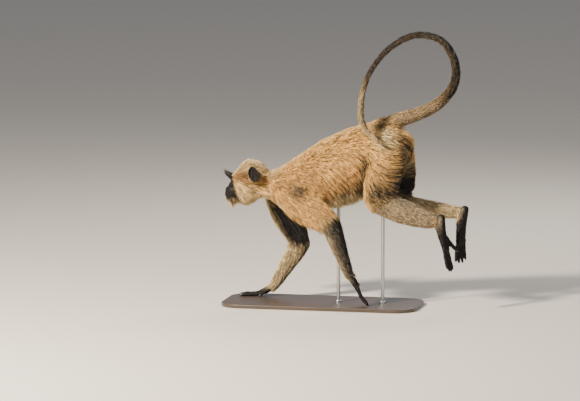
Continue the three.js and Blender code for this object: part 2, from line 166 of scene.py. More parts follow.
LAMPS = {  # name: place, size, watts, tint
    "key": ((-2.1, -2.8, 2.6), 0.5, 560, (1.0, 0.91, 0.76)),
    "fill": ((2.6, -2.6, 1.4), 2.4, 22, (0.9, 0.95, 1.0)),
    "rim": ((0.6, 2.6, 2.6), 1.2, 60, (1.0, 0.97, 0.92)),
}
for name, (place, size, watts, tint) in LAMPS.items():
    bpy.ops.object.light_add(type="AREA", location=place)
    lamp = bpy.context.object
    lamp.name = name + "_lamp"
    lamp.data.size, lamp.data.energy, lamp.data.color = size, watts, tint
    lamp.rotation_euler = (Vector((0, 0, 0.4)) - lamp.location).to_track_quat("-Z", "Y").to_euler()

AIM = Vector((-0.1843, 0.0, 0.3481))
AZIMUTH, ELEVATION, DISTANCE = math.radians(12), math.radians(7.5), 15.0
looking = Vector((
    -math.sin(AZIMUTH) * math.cos(ELEVATION),
    math.cos(AZIMUTH) * math.cos(ELEVATION),
    -math.sin(ELEVATION),
))
bpy.ops.object.camera_add(location=AIM - looking * DISTANCE)
camera = bpy.context.object
camera.rotation_euler = looking.to_track_quat("-Z", "Y").to_euler()
camera.data.sensor_width = 36
camera.data.lens = 279.3
camera.data.clip_end = 200
bpy.context.scene.camera = camera


# ---------------------------------------------------------------- the skin: trunk and limbs
# One skin lies over all the flesh, as a mount-maker models it in clay. On the trunk and
# limbs it is the solids' own surface, smoothed and drawn in by the coat's depth, so that
# the tips of the coat reach about as far as the solids do.

MM = 0.001
BASE_CENTRE = -76 * MM  # the middle of the stand's base, on the monkey's own plan
base_low, base_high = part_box("stand_base")
PLAN = np.array([(base_low.x + base_high.x) / 2 - BASE_CENTRE, 0, 0])

HEAD_PIVOT = np.array([-290, 0, 410])  # where the head meets the neck
HEAD_TURN = np.array(Matrix.Rotation(math.radians(4), 3, "Z"))
SIDES = {"left": -1, "right": 1}

# The joints of the limbs on the plan: shoulder, elbow and wrist, or hip, knee and ankle.
JOINTS = {
    "left_arm": ((-178, -52, 408), (-42, -100, 302), (28, -82, 116)),
    "right_arm": ((-232, 50, 376), (-173, 92, 202), (-262, 76, 44)),
    "left_leg": ((150, -44, 548), (112, -82, 364), (318, -68, 300)),
    "right_leg": ((148, 44, 548), (152, 82, 331), (377, 69, 316)),
}

deep_names = ["chest", "belly", "rump", "neck", "head"]
for side_name in SIDES:
    deep_names += [f"{side_name}_{part}" for part in ("upper_arm", "forearm", "thigh", "shank")]
bare_names = [f"{side_name}_{part}" for side_name in SIDES for part in ("ear", "hand", "foot")]
tail_names = [f"tail_{i}" for i in range(1, 6)]
flesh_names = [*deep_names, *bare_names, *tail_names]


def unit(v):
    v = np.asarray(v, float)
    return v / np.maximum(np.linalg.norm(v, axis=-1, keepdims=True), 1e-12)


def on_plan(points):
    """Places on the monkey's plan, in millimetres, as places in the frame."""
    return np.asarray(points, float) * MM + PLAN


def in_head(points):
    """Places in the head, in millimetres from where it meets the neck, in the frame."""
    return on_plan(np.asarray(points, float) @ HEAD_TURN.T + HEAD_PIVOT)


def to_head(points):
    """Places in the frame as places in the head, in millimetres."""
    return ((np.asarray(points) - PLAN) / MM - HEAD_PIVOT) @ HEAD_TURN


def smooth_line(points, steps):
    """A smooth line through the points, with some steps to each span."""
    p = np.asarray(points, float)
    p = np.vstack([2 * p[0] - p[1], p, 2 * p[-1] - p[-2]])
    made = []
    for a, b, c, d in zip(p, p[1:], p[2:], p[3:]):
        k1 = np.linalg.norm(b - a) ** 0.5
        k2 = k1 + np.linalg.norm(c - b) ** 0.5
        k3 = k2 + np.linalg.norm(d - c) ** 0.5
        t = np.linspace(k1, k2, steps, endpoint=False)[:, None]
        ab = a + (b - a) * t / k1
        bc = b + (c - b) * (t - k1) / (k2 - k1)
        cd = c + (d - c) * (t - k2) / (k3 - k2)
        abc = ab + (bc - ab) * t / k2
        bcd = bc + (cd - bc) * (t - k1) / (k3 - k1)
        made.append(abc + (bcd - abc) * (t - k1) / (k2 - k1))
    return np.vstack([*made, p[-2]])


def object_from(name, points, faces):
    """A closed mesh object with its faces turned outwards."""
    mesh = bpy.data.meshes.new(name)
    mesh.from_pydata([tuple(p) for p in points], [], faces)
    turner = bmesh.new()
    turner.from_mesh(mesh)
    bmesh.ops.recalc_face_normals(turner, faces=turner.faces)
    turner.to_mesh(mesh)
    turner.free()
    made = bpy.data.objects.new(name, mesh)
    bpy.context.scene.collection.objects.link(made)
    return made


def loft(name, places, sizes, side, sides=18, steps=5, ends=(0.9, 0.9)):
    """A closed tube with oval sections through places in the frame. A size is the half
    width along side and the half height across it, in millimetres."""
    line = smooth_line(places, steps)
    at = np.linspace(0, len(sizes) - 1, len(line))
    known = np.arange(len(sizes))
    oval = np.stack([np.interp(at, known, s) for s in np.array(sizes, float).T], 1) * MM
    forward = unit(np.gradient(line, axis=0))
    rings = [(line[i], forward[i], oval[i]) for i in range(len(line))]
    # Each end is closed by a dome of three rings and a small flat face.
    dome = [(math.cos(a), math.sin(a)) for a in np.radians([25, 50, 72])]
    for end, where, turn in ((0, 0, -1), (1, -1, 1)):
        reach = ends[end] * oval[where].min()
        caps = [(line[where] + turn * forward[where] * reach * s, forward[where], oval[where] * c)
                for c, s in dome]
        rings = rings + caps if end else caps[::-1] + rings
    angles = np.linspace(0, 2 * np.pi, sides, endpoint=False)
    points, faces = [], []
    for centre, ahead, (wide, tall) in rings:
        across = unit(side - ahead * np.dot(ahead, side))
        over = np.cross(across, ahead)
        points.append(centre + np.outer(np.cos(angles) * wide, across)
                      + np.outer(np.sin(angles) * tall, over))
    for r in range(len(rings) - 1):
        for s in range(sides):
            a, b = r * sides + s, r * sides + (s + 1) % sides
            faces.append((b, a, a + sides, b + sides))
    faces.append(tuple(range(sides)))
    faces.append(tuple((len(rings) - 1) * sides + s for s in reversed(range(sides))))
    return object_from(name, np.vstack(points), faces)


def points_of(mesh):
    co = np.empty(len(mesh.vertices) * 3, np.float32)
    mesh.vertices.foreach_get("co", co)
    return co.reshape(-1, 3).astype(float)


def set_points(mesh, points):
    mesh.vertices.foreach_set("co", points.astype(np.float32).ravel())
    mesh.update()


def normals_of(mesh):
    flat = np.empty(len(mesh.vertices) * 3, np.float32)
    mesh.vertex_normals.foreach_get("vector", flat)
    return flat.reshape(-1, 3).astype(float)


def edges_of(mesh):
    flat = np.empty(len(mesh.edges) * 2, np.int32)
    mesh.edges.foreach_get("vertices", flat)
    return flat.reshape(-1, 2)


def spread(values, edges, rounds):
    """Values at vertices, each averaged with its neighbours', some rounds over."""
    values = np.array(values, float)
    count = np.bincount(edges.ravel(), minlength=len(values)) + 1.0
    a, b = edges[:, 0], edges[:, 1]
    columns = values.reshape(len(values), -1)
    for _ in range(rounds):
        sums = columns.copy()
        for c in range(columns.shape[1]):
            sums[:, c] += np.bincount(a, columns[b, c], len(values))
            sums[:, c] += np.bincount(b, columns[a, c], len(values))
        columns = sums / count[:, None]
    return columns.reshape(values.shape)


def select_only(piece):
    deselect()
    piece.select_set(True)
    bpy.context.view_layer.objects.active = piece


def apply_modifier(piece, kind, **settings):
    select_only(piece)
    modifier = piece.modifiers.new(kind, kind)
    for key, value in settings.items():
        setattr(modifier, key, value)
    bpy.ops.object.modifier_apply(modifier=modifier.name)


def join(pieces, name):
    deselect()
    for piece in pieces:
        piece.select_set(True)
    bpy.context.view_layer.objects.active = pieces[0]
    bpy.ops.object.join()
    pieces[0].name = pieces[0].data.name = name
    return pieces[0]


def copies(names, name):
    """Copies of CAD nodes, their loose triangles merged, as one object."""
    made = []
    for source in names:
        part = bmesh.new()
        part.from_mesh(nodes[source].data)
        bmesh.ops.remove_doubles(part, verts=part.verts, dist=1e-5)
        mesh = bpy.data.meshes.new(source + "_copy")
        part.to_mesh(mesh)
        part.free()
        made.append(bpy.data.objects.new(source + "_copy", mesh))
        bpy.context.scene.collection.objects.link(made[-1])
    return join(made, name)


def tree_of(mesh):
    return BVHTree.FromPolygons(
        [v.co for v in mesh.vertices], [tuple(p.vertices) for p in mesh.polygons]
    )


# Which solid is nearest to a point tells how deep the coat is there, how it lies and how
# it is marked.
flesh_mesh = bpy.data.meshes.new("flesh")
owners = []
gathered = bmesh.new()
for number, source in enumerate(flesh_names):
    gathered.from_mesh(nodes[source].data)
    owners += [number] * len(nodes[source].data.polygons)
gathered.to_mesh(flesh_mesh)
gathered.free()
owners = np.array(owners)
flesh_tree = tree_of(flesh_mesh)


def owners_at(points):
    return owners[[flesh_tree.find_nearest(p)[2] for p in points]]


# How deep the coat is over each solid, in millimetres.
COAT_DEPTH = {
    "chest": 12, "belly": 12, "rump": 11, "neck": 13, "head": 20, "upper_arm": 8,
    "forearm": 6, "thigh": 10, "shank": 6, "ear": 0, "hand": 1, "foot": 1, "tail": 4,
}


def part_of(name):
    """A node's name without its side or number: left_thigh is a thigh, tail_3 a tail."""
    bare = name.removeprefix("left_").removeprefix("right_")
    return "tail" if bare.startswith("tail") else bare


flesh_depth = np.array([COAT_DEPTH[part_of(name)] for name in flesh_names]) * MM

BODY_VOXEL = 0.006
SIDEWAYS = np.array([0, 1, 0])
SOCKET_DEEP, PLUG_RADIUS = 0.027, 8
plugs = []  # the rods' blind sockets are filled, so that the skin closes round the rods
for rod in ("stand_rod_front", "stand_rod_rear"):
    low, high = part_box(rod)
    foot = Vector(((low.x + high.x) / 2, 0, high.z - SOCKET_DEEP))
    plugs.append(loft("plug", [foot, foot + Vector((0, 0, 0.028))], [(PLUG_RADIUS, PLUG_RADIUS)] * 2,
                      side=SIDEWAYS, steps=2, ends=(0.1, 0.1)))
body = copies(deep_names, "body")
apply_modifier(body, "DISPLACE", strength=0.0005, mid_level=0)  # closes the cuts between solids
body = join([body, *plugs], "body")
apply_modifier(body, "REMESH", mode="VOXEL", voxel_size=BODY_VOXEL)
outline = tree_of(body.data)
edges = edges_of(body.data)
start = points_of(body.data)
owner = owners_at(start)
# The face and the brow's visor are pressed flat, as the face is modelled by itself.
FACE_PRESSED = -58
local = to_head(start)
is_face = (local[:, 0] < FACE_PRESSED) & (owner == flesh_names.index("head"))
local[is_face, 0] = FACE_PRESSED + 0.06 * (local[is_face, 0] - FACE_PRESSED)
local[is_face, 1:] *= 0.5
start[is_face] = in_head(local[is_face])
# The slim arms and shanks are smoothed a little, and all else in full.
slim = np.isin(owner, [flesh_names.index(n) for n in deep_names if "arm" in n or "shank" in n])
slim = spread(slim, edges, 12)[:, None]
little = spread(start, edges, 8)
full = spread(little, edges, 30)
shape = little * slim + full * (1 - slim)


def ramp(values, start, end):
    """How far values are from start to end, from 0 to 1 and smoothly at both."""
    t = np.clip((values - start) / (end - start), 0, 1)
    return t * t * (3 - 2 * t)


# Long hair hangs free under the belly and in front of the upper arms, and the body is
# that much further in.
TRUNK = ("chest", "belly", "rump")
BELLY_HAIR = 26
ARM_HAIR = {"left_upper_arm": 14, "right_upper_arm": 6}
ARM_FRONT = unit([-0.65, 0, -0.76])
facing_out = normals_of(body.data)
plan_x = (start[:, 0] - PLAN[0]) / MM
under = np.clip(-facing_out[:, 2], 0, 1) ** 2 * ramp(plan_x, -130, -50) * (1 - ramp(plan_x, 60, 130))
free_hair = BELLY_HAIR * under * np.isin(owner, [flesh_names.index(n) for n in TRUNK])
for name, fringe in ARM_HAIR.items():
    before = np.clip(facing_out @ ARM_FRONT, 0, 1) ** 2
    free_hair += fringe * before * (owner == flesh_names.index(name))
wanted = spread(flesh_depth[owner] + free_hair * MM, edges, 6)
FITTINGS = 3  # each brings the skin nearer to the wanted depth below the solids' surface
for _ in range(FITTINGS):
    set_points(body.data, shape)
    outwards = normals_of(body.data)
    error = np.empty(len(shape))
    for i, p in enumerate(shape):
        place, normal, _, _ = outline.find_nearest(p)
        error[i] = wanted[i] - (place - Vector(p)).dot(normal)
    error[is_face] = 0
    shape -= outwards * spread(error, edges, 10)[:, None]
set_points(body.data, shape)

# Muscles and hollows pressed into the clay: place on the plan, reach, and push in mm.
FORMS = {
    "hollow behind the shoulder": ((-92, -70, 392), 26, -6),
    "hollow behind the far shoulder": ((-140, 70, 372), 26, -6),
    "shoulder blade": ((-150, -60, 452), 34, 4),
    "far shoulder blade": ((-160, 60, 446), 34, 4),
    "flank before the thigh": ((62, -78, 452), 30, -7),
    "far flank before the thigh": ((66, 78, 452), 30, -7),
    "buttock": ((205, -44, 520), 30, 4),
    "far buttock": ((205, 44, 520), 30, 4),
}
for place, reach, push in FORMS.values():
    away = np.linalg.norm(shape - on_plan(place), axis=1) / (reach * MM)
    shape += normals_of(body.data) * (push * MM * np.exp(-away**2))[:, None]
set_points(body.data, shape)


# ---------------------------------------------------------------- the skin: the head
# Skull, jaws, muzzle and lips, built up from rounded forms and fused. A langur's face is
# bare black skin over bone and thin muscle, and the head behind it is thickly coated.

def ball(place, radii, tilt=0):
    """An oval form in the head, tilted forwards by some degrees."""
    bpy.ops.mesh.primitive_uv_sphere_add(segments=32, ring_count=20, radius=1)
    made = bpy.context.object
    turn = HEAD_TURN @ np.array(Matrix.Rotation(math.radians(tilt), 3, "Y"))
    points = points_of(made.data) * np.array(radii) * MM
    set_points(made.data, points @ turn.T + in_head(place))
    return made


skull_forms = [
    ball((-31, 0, 13), (50, 43, 45)),  # cranium
    ball((-56, 0, -38), (44, 34, 28), 12),  # jaws
]
face_forms = [
    ball((-68, 0, 13), (25, 33, 21)),  # forehead
    ball((-56, 0, -38), (44, 34, 28), 12),  # jaws
    ball((-90, 0, -40), (28, 24, 22), 6),  # muzzle
    ball((-103, 0, -45), (15, 20, 11)),  # upper lip
    ball((-98, 0, -57), (15, 17, 10)),  # lower lip
    ball((-91, 0, -62), (15, 15, 12)),  # chin
    ball((-109, 0, -27), (7.5, 9.5, 7.5)),  # nose
    ball((-97, 0, -13), (8, 10, 21), 26),  # bridge of the nose
    ball((-88, 0, 8), (10, 11, 6.5)),  # between the brows
]
for side in SIDES.values():
    skull_forms.append(ball((-44, 31 * side, -20), (34, 13, 26)))  # chewing muscle
    face_forms += [
        ball((-87, 16 * side, 11), (12, 12, 7)),  # brow ridge over the eye
        ball((-82, 27 * side, 8), (12, 10, 8)),  # brow ridge at its outer end
        ball((-75, 28 * side, -12), (13, 11, 14)),  # cheekbone
        ball((-92, 10.5 * side, -18), (9, 9, 12)),  # beside the nose
        ball((-79, 18 * side, -6), (12, 20, 15)),  # behind the eye
        ball((-85, 17 * side, -4), (11, 15, 13)),  # flesh round the eye
        ball((-84, 20 * side, -32), (21, 13, 18), 8),  # cheek
        ball((-109, 6.5 * side, -31), (6.5, 5.5, 5.5)),  # wing of the nose
        ball((-46, 31 * side, -20), (34, 13, 26)),  # chewing muscle
    ]
nape = loft(
    "nape",
    on_plan([(-205, 0, 396), (-240, 0, 394), (-280, 0, 400), (-315, 0, 412)]),
    [(42, 34), (38, 31), (36, 33), (34, 34)],
    side=SIDEWAYS,
    sides=28,
)


# ---------------------------------------------------------------- the skin: the ears
# An ear is a thin dish with a rolled rim, a ridge inside it and a deep hollow low in front.
# It is gristle under bare black skin, on a short root that stands out from the skull.

EAR_PLACE = (-8, 60, 31)
EAR_RADII = (21, 28)  # across, and along its height
EAR_THICK = 3.0


def mirrored(place, side):
    return np.array([place[0], place[1] * side, place[2]], float)


def ear_frame(side):
    """The ear's rearward, upward and outward directions in the head."""
    opening = unit([-0.4, 0.91 * side, 0.08])
    tall = np.array([-0.5, 0, 0.87])
    tall = unit(tall - opening * np.dot(tall, opening))
    return np.cross(tall, opening) * -side, tall, opening


def bump(distance, reach):
    """One at no distance, and falling away to nothing past the reach."""
    return np.exp(-((distance / reach) ** 2))


def ear(side):
    rear, tall, opening = ear_frame(side)
    rings, spokes = 16, 48
    angle = np.linspace(0, 2 * np.pi, spokes, endpoint=False)[None, :]
    out = np.linspace(0.03, 1, rings)[:, None]
    across, along = out * np.cos(angle), out * np.sin(angle)
    along = along - 0.1 * out**2 * np.cos(angle) ** 2
    # Low and in front the rim fades into the cheek, and low behind it hangs as a lobe.
    rim = np.clip(0.75 + 0.5 * np.sin(angle + 0.3), 0.15, 1)
    height = 10.5 * out**2.4 - 1.5
    height = height + 3.0 * rim * bump(out - 0.92, 0.1)
    height = height - 2.0 * bump(out - 0.76, 0.1) * rim
    ridge = np.hypot(across - 0.02, (along - 0.1) * 0.9)
    height = height + 3.6 * bump(ridge - 0.5, 0.1) * np.clip(0.4 + np.cos(angle - 0.5), 0, 1)
    height = height - 4.0 * bump(np.hypot(across + 0.22, along + 0.22), 0.28)
    height = height + 5.0 * bump(np.hypot(across + 0.66, along + 0.3), 0.16)
    roll = 1 - 0.06 * rim * bump(out - 1.02, 0.06)

    def shell(lift):
        return (mirrored(EAR_PLACE, side)
                + (across * roll * EAR_RADII[0])[..., None] * rear
                + (along * roll * EAR_RADII[1])[..., None] * tall
                + (height + lift)[..., None] * opening).reshape(-1, 3)

    thin = np.repeat(EAR_THICK * (1 - 0.12 * out**4), spokes)
    front, back = shell(0), shell(0) - thin[:, None] * opening
    points = np.vstack([front, back])
    layer = rings * spokes
    faces = []
    for r in range(rings - 1):
        for s in range(spokes):
            a, b = r * spokes + s, r * spokes + (s + 1) % spokes
            faces.append((a, b, b + spokes, a + spokes))
            faces.append(tuple(i + layer for i in (b, a, a + spokes, b + spokes)))
    last = (rings - 1) * spokes
    for s in range(spokes):
        a, b = last + s, last + (s + 1) % spokes
        faces.append((a, b, b + layer, a + layer))
    faces += [tuple(reversed(range(spokes))), tuple(layer + s for s in range(spokes))]
    made = object_from("ear", in_head(points), faces)
    apply_modifier(made, "SUBSURF", levels=1, render_levels=1)
    return made


def ear_root(side):
    rear, tall, opening = ear_frame(side)
    dish = mirrored(EAR_PLACE, side)
    places = [(-16, 26 * side, 18), (-14, 40 * side, 22), dish - opening * 9 - tall * 6,
              dish - opening * 4.5 - tall * 6]
    return loft("ear_root", in_head(places), [(11, 14), (10, 13), (8, 11), (6, 8)],
                side=HEAD_TURN @ rear, ends=(0.9, 0.3))


ears = [ear(side) for side in SIDES.values()]
roots = [ear_root(side) for side in SIDES.values()]


# ---------------------------------------------------------------- the skin: the hands and feet
# A flat palm or sole, four digits in a row and a shorter one on the inner side. Each digit
# is three bones long, thick at the knuckles and padded at the tip. The skin is bare, black
# and leathery, with hair on the back alone.

def extremity_frame(place, pointing, back):
    """Where a hand or foot begins, and its ways along, up out of its back, and across."""
    along = unit(pointing)
    up = np.array(back, float)
    up = unit(up - along * np.dot(up, along))
    return on_plan(place), along, up, np.cross(up, along)


def turned(v, axis, degrees):
    return np.array(Matrix.Rotation(math.radians(degrees), 3, Vector(axis)) @ Vector(v))


HAND_PALM = [  # along, up, half width, half height
    (-4, 0, 13, 10.5), (10, 0, 14.5, 10.5), (24, -1, 17, 10), (40, -1, 19, 8.5), (56, 0, 18, 7),
]
FOOT_PALM = [
    (-8, -18, 12.5, 13), (6, -12, 15, 17), (24, -9, 16, 17), (50, -9, 18.5, 14),
    (80, -12, 20, 11), (103, -13, 18.5, 8.5),
]
HANDS = {  # frame, the way inwards along its side, bends of the fingers' joints
    "left_hand": (((32, -82, 116), (0.51, 0.02, -0.86), (-0.86, -0.16, -0.51)), -1, (-8, 12, 14)),
    "right_hand": (((-262, 76, 44), (-0.9, 0.02, -0.42), (-0.42, 0, 0.9)), 1, (-18, -6, 1)),
}
FEET = {
    "left_foot": (((322, -68, 304), (0.2, -0.02, -0.98), (-0.96, 0.22, -0.2)), -1, (0, 2, 4)),
    "right_foot": (((380, 68, 321), (-0.09, -0.1, -0.99), (-0.78, 0.62, 0)), 1, (2, 6, 8)),
}
nail_places = {}  # digit's name: its tip, the way it points, its back's direction, its radius


def digit(name, frame, knuckle, bones, bends, splay, radius):
    place, along, up, across = frame
    direction = turned(along, up, splay)
    places = [place + (along * knuckle[0] + across * knuckle[1] + up * knuckle[2]) * MM]
    places.insert(0, places[0] - direction * 9 * MM)
    for bone, bend in zip(bones, bends):
        direction = turned(direction, across, bend)
        places.append(places[-1] + direction * bone * MM)
    # Each joint has rings before and after it, so that the knuckles swell between them.
    dense = []
    for a, b in zip(places[:-2], places[1:]):
        dense += [a, a * 0.75 + b * 0.25, a * 0.3 + b * 0.7]
    dense += [places[-2], places[-2] * 0.5 + places[-1] * 0.5, places[-1]]
    wide = radius * np.array([0.7, 0.85, 1, 1.13, 0.96, 0.96, 1.1, 0.9, 0.9, 1.03, 0.86, 0.82])
    tall = radius * np.array([0.7, 0.85, 1, 1.1, 0.9, 0.92, 1.08, 0.86, 0.86, 1.0, 0.86, 0.62])
    back = np.cross(direction, unit(across - direction * np.dot(across, direction)))
    nail_places[name] = (places[-1], direction, back, radius * MM)
    return loft(name, dense, np.stack([wide, tall], 1), side=across, sides=16, steps=3, ends=(0.6, 0.9))


def extremity(name, spec, palm, row, inner):
    frame = extremity_frame(*spec[0])
    place, along, up, across = frame
    inward, bends = spec[1:]
    places = [place + (along * a + up * u) * MM for a, u, _, _ in palm]
    made = [loft(name + "_palm", places, [p[2:] for p in palm], side=across, sides=24, steps=4)]
    # The wrist or ankle turns from the limb's line into the palm or sole.
    _, middle, last = on_plan(JOINTS[name.replace("hand", "arm").replace("foot", "leg")])
    limb = unit(last - middle) * MM
    bend = [last - limb * 36, last - limb * 14, last + limb * 2, places[1] + along * 6 * MM]
    made.append(loft(name + "_bend", bend, row["bend"], side=across, sides=24, steps=4))
    for i, (s, scale) in enumerate(zip(row["spread"], row["scales"])):
        knuckle = (row["knuckle"][0] - row["knuckle"][2] * i, s * inward, row["knuckle"][1])
        bones = [b * scale for b in row["bones"]]
        splay = s * inward * row["splay"]
        made.append(digit(f"{name}_{i + 1}", frame, knuckle, bones, bends, splay, row["radius"]))
    a, s, u = inner["knuckle"]
    made.append(digit(name + "_inner", frame, (a, s * inward, u), inner["bones"], inner["bends"],
                      inner["splay"] * inward, inner["radius"]))
    # A small pad under each knuckle, and two long ones side by side under the palm or sole.
    pads = [(row["knuckle"][0] - 5, s * inward, row["knuckle"][1] - 3.5, 7, 5.5, 4)
            for s in row["spread"]]
    a, u = palm[2][:2]
    pads += [(a, 5 * inward, u - 6, 14, 8, 6), (a + 4, -7 * inward, u - 6, 14, 6, 6)]
    turn = np.stack([along, across, up], 1)
    for pa, ps, pu, *radii in pads:
        bpy.ops.mesh.primitive_uv_sphere_add(segments=16, ring_count=10, radius=1)
        pad = bpy.context.object
        points = (points_of(pad.data) * radii + (pa, ps, pu)) * MM
        set_points(pad.data, points @ turn.T + place)
        made.append(pad)
    return made


# Rows of four digits, and the one on the inner side. A row's knuckle is its first one's
# place along and above the palm, and how far each next one is set back. The inner digit's
# is its place along, across and above.
HAND_ROW = {"spread": (16, 5.5, -5, -14.5), "scales": (0.9, 1, 0.98, 0.82), "knuckle": (56, 0, 0),
            "bones": (26, 21, 14), "splay": 0.5, "radius": 5.5,
            "bend": ((13, 14.5), (12.5, 12.5), (12.5, 11), (13, 10))}
HAND_INNER = {"knuckle": (18, 15, -3), "bones": (14, 11, 8), "bends": (6, 6, 6), "splay": 30,
              "radius": 4.8}
FOOT_ROW = {"spread": (12, 3, -7, -16), "scales": (0.92, 1, 1, 0.88), "knuckle": (102, -13, 2),
            "bones": (31, 23, 16), "splay": 0.45, "radius": 5.8,
            "bend": ((14, 16), (13, 15), (13.5, 15), (14, 14))}
FOOT_INNER = {"knuckle": (66, 15, -17), "bones": (22, 17, 13), "bends": (18, 8, 8), "splay": 20,
              "radius": 7.2}
extremities = [extremity(name, spec, HAND_PALM, HAND_ROW, HAND_INNER) for name, spec in HANDS.items()]
extremities += [extremity(name, spec, FOOT_PALM, FOOT_ROW, FOOT_INNER) for name, spec in FEET.items()]


# ---------------------------------------------------------------- the skin: the tail
# One long taper of small bones under short even hair, carried in a loop over the back. It
# is modelled round its line, whose radii are given with the coat on, from root to tip.

TAIL_LINE = on_plan([
    (118, 0, 608), (182, 0, 628), (244, -1, 648), (316, -5, 686), (369, -12, 754),
    (370, -20, 828), (329, -36, 896), (250, -54, 915), (169, -72, 876), (104, -90, 798),
    (75, -100, 708), (80, -110, 622), (134, -126, 566),
])
TAIL_RADII = [30, 26, 23, 19.5, 16, 14.5, 13.5, 12.5, 11.5, 10.5, 10.5, 12, 8]
tail_skin = [r - COAT_DEPTH["tail"] for r in TAIL_RADII[:-1]] + [2.6]
tail_skin[0] = 21
tail_start = np.vstack([on_plan((104, 0, 594)), TAIL_LINE[1:]])
tail = loft("tail", tail_start, [(r, r) for r in tail_skin], side=SIDEWAYS, sides=20, steps=8)


# ---------------------------------------------------------------- the skin: lids, and all parts joined
# The fine parts are fused by themselves and then joined to the body, closed to closed. A
# lid is a thin shell round the eye, from its free edge back into the face, and the two
# leave an opening like an almond, a little higher at its outer corner.

SKULL_VOXEL, FINE_VOXEL, EXTREMITY_VOXEL = 0.003, 0.001, 0.00235


def fused(pieces, name, voxel):
    made = join(pieces, name)
    apply_modifier(made, "REMESH", mode="VOXEL", voxel_size=voxel)
    return made


def smoothed(piece, rounds):
    points = points_of(piece.data)
    set_points(piece.data, spread(points, edges_of(piece.data), rounds))
    return piece


skull = smoothed(fused([nape, *skull_forms, *roots], "skull_skin", SKULL_VOXEL), 6)
face = smoothed(fused(face_forms, "face_skin", FINE_VOXEL), 26)
# The face is cut off flat at the back, inside the skull.
FACE_BACK, BLOCK = -58, 200
bpy.ops.mesh.primitive_cube_add(size=BLOCK * MM)
block = bpy.context.object
set_points(block.data, points_of(block.data) @ HEAD_TURN.T + in_head((FACE_BACK - BLOCK / 2, 0, 0)))
apply_modifier(face, "BOOLEAN", operation="INTERSECT", solver="MANIFOLD", object=block)
bpy.data.objects.remove(block)

EYE_PLACE, EYE_RADIUS = np.array([-86, 18, -3]), 9.5
LID_CLEAR, LID_THICK = 0.25, 1.3


def eye_frame(side):
    """An eye's centre and its forward, outward and upward directions, in the head."""
    ahead = unit([-1, 0.22 * side, -0.02])
    outwards = unit(np.cross(ahead, [0, 0, 1]) * side)
    return mirrored(EYE_PLACE, side), ahead, outwards, np.cross(outwards, ahead) * side


def lid(side, upper):
    centre, ahead, outwards, up = eye_frame(side)
    spans, steps = 24, 9
    s = np.linspace(-1.3, 1.3, spans)
    arch = np.clip(1 - s**2, 0, 1) ** 0.75
    # How high the free edge is round the eye, in degrees, from the inner to the outer corner.
    edge = 1 + 4 * s + (arch * 19 if upper else arch * -18)
    far = 80 if upper else -80
    sweep = np.radians(s * 46)
    # Down the inside to the free edge, and up the outside, back into the face.
    layers = [(EYE_RADIUS + LID_CLEAR, np.linspace(1, 0, steps)),
              (EYE_RADIUS + LID_CLEAR + LID_THICK, np.linspace(0, 1, steps))]
    points = []
    for i in range(spans):
        for radius, reach in layers:
            tilt = np.radians(edge[i] + (far - edge[i]) * reach)
            thick = radius + 0.8 * reach * (radius > EYE_RADIUS + 1)
            flat = np.cos(tilt) * thick
            points += list(centre + np.outer(flat * math.cos(sweep[i]), ahead)
                           + np.outer(flat * math.sin(sweep[i]), outwards)
                           + np.outer(np.sin(tilt) * thick, up))
    ring = 2 * steps
    faces = [(a * ring + b, a * ring + (b + 1) % ring, (a + 1) * ring + (b + 1) % ring, (a + 1) * ring + b)
             for a in range(spans - 1) for b in range(ring)]
    faces += [tuple(range(ring)), tuple((spans - 1) * ring + b for b in range(ring))]
    made = object_from("lid", in_head(points), faces)
    apply_modifier(made, "SUBSURF", levels=1, render_levels=1)
    return made


ear_skins = [fused([made], "ear_skin", FINE_VOXEL) for made in ears]
ends = [smoothed(fused(e, "extremity", EXTREMITY_VOXEL), 2) for e in extremities]
groups = [
    [tail, skull, *ends],
    [face, *[smoothed(e, 5) for e in ear_skins]],
    [lid(side, True) for side in SIDES.values()],
    [lid(side, False) for side in SIDES.values()],
]
skin = body
for group in groups:
    part = join(group, "part")
    apply_modifier(skin, "BOOLEAN", operation="UNION", solver="MANIFOLD", object=part)
    bpy.data.objects.remove(part)
skin.name = skin.data.name = "skin"

# The seams at the wrists and ankles are smoothed away.
points, edges = points_of(skin.data), edges_of(skin.data)
near_joint = np.zeros(len(points))
for *_, last in JOINTS.values():
    near_joint = np.maximum(near_joint, bump(np.linalg.norm(points - on_plan(last), axis=1), 0.016))
blend = np.clip(near_joint * 2, 0, 1)[:, None]
points = points * (1 - blend) + spread(points, edges, 24) * blend
set_points(skin.data, points)


# ---------------------------------------------------------------- the skin: mouth, nostrils and folds
# They are cut into the face with a fine tool, so the mesh is made finer there first. The
# lips close in one long line, and small folds run under the eyes and beside the nose.

def from_line(points, line):
    """Each point's distance to a line of straight pieces."""
    best = np.full(len(points), 1e9)
    for a, b in zip(line, line[1:]):
        t = np.clip((points - a) @ (b - a) / np.dot(b - a, b - a), 0, 1)
        best = np.minimum(best, np.linalg.norm(points - a - t[:, None] * (b - a), axis=1))
    return best


MOUTH = smooth_line([(-86, -22, -49), (-98, -17.5, -51), (-110, -11, -52), (-118, 0, -51.5),
                     (-110, 11, -52), (-98, 17.5, -51), (-86, 22, -49)], 5)
finer = bmesh.new()
finer.from_mesh(skin.data)
local = to_head(points)
fine_here = (from_line(local, MOUTH) < 5) | (np.hypot(local[:, 0] + 116, local[:, 2] + 31) < 9)
fine_here &= np.abs(local[:, 1]) < 27
finer.verts.ensure_lookup_table()
chosen = {e for i in np.flatnonzero(fine_here) for e in finer.verts[int(i)].link_edges}
bmesh.ops.subdivide_edges(finer, edges=list(chosen), cuts=1, use_grid_fill=True)
bmesh.ops.triangulate(finer, faces=[f for f in finer.faces if len(f.verts) > 4])
finer.to_mesh(skin.data)
finer.free()

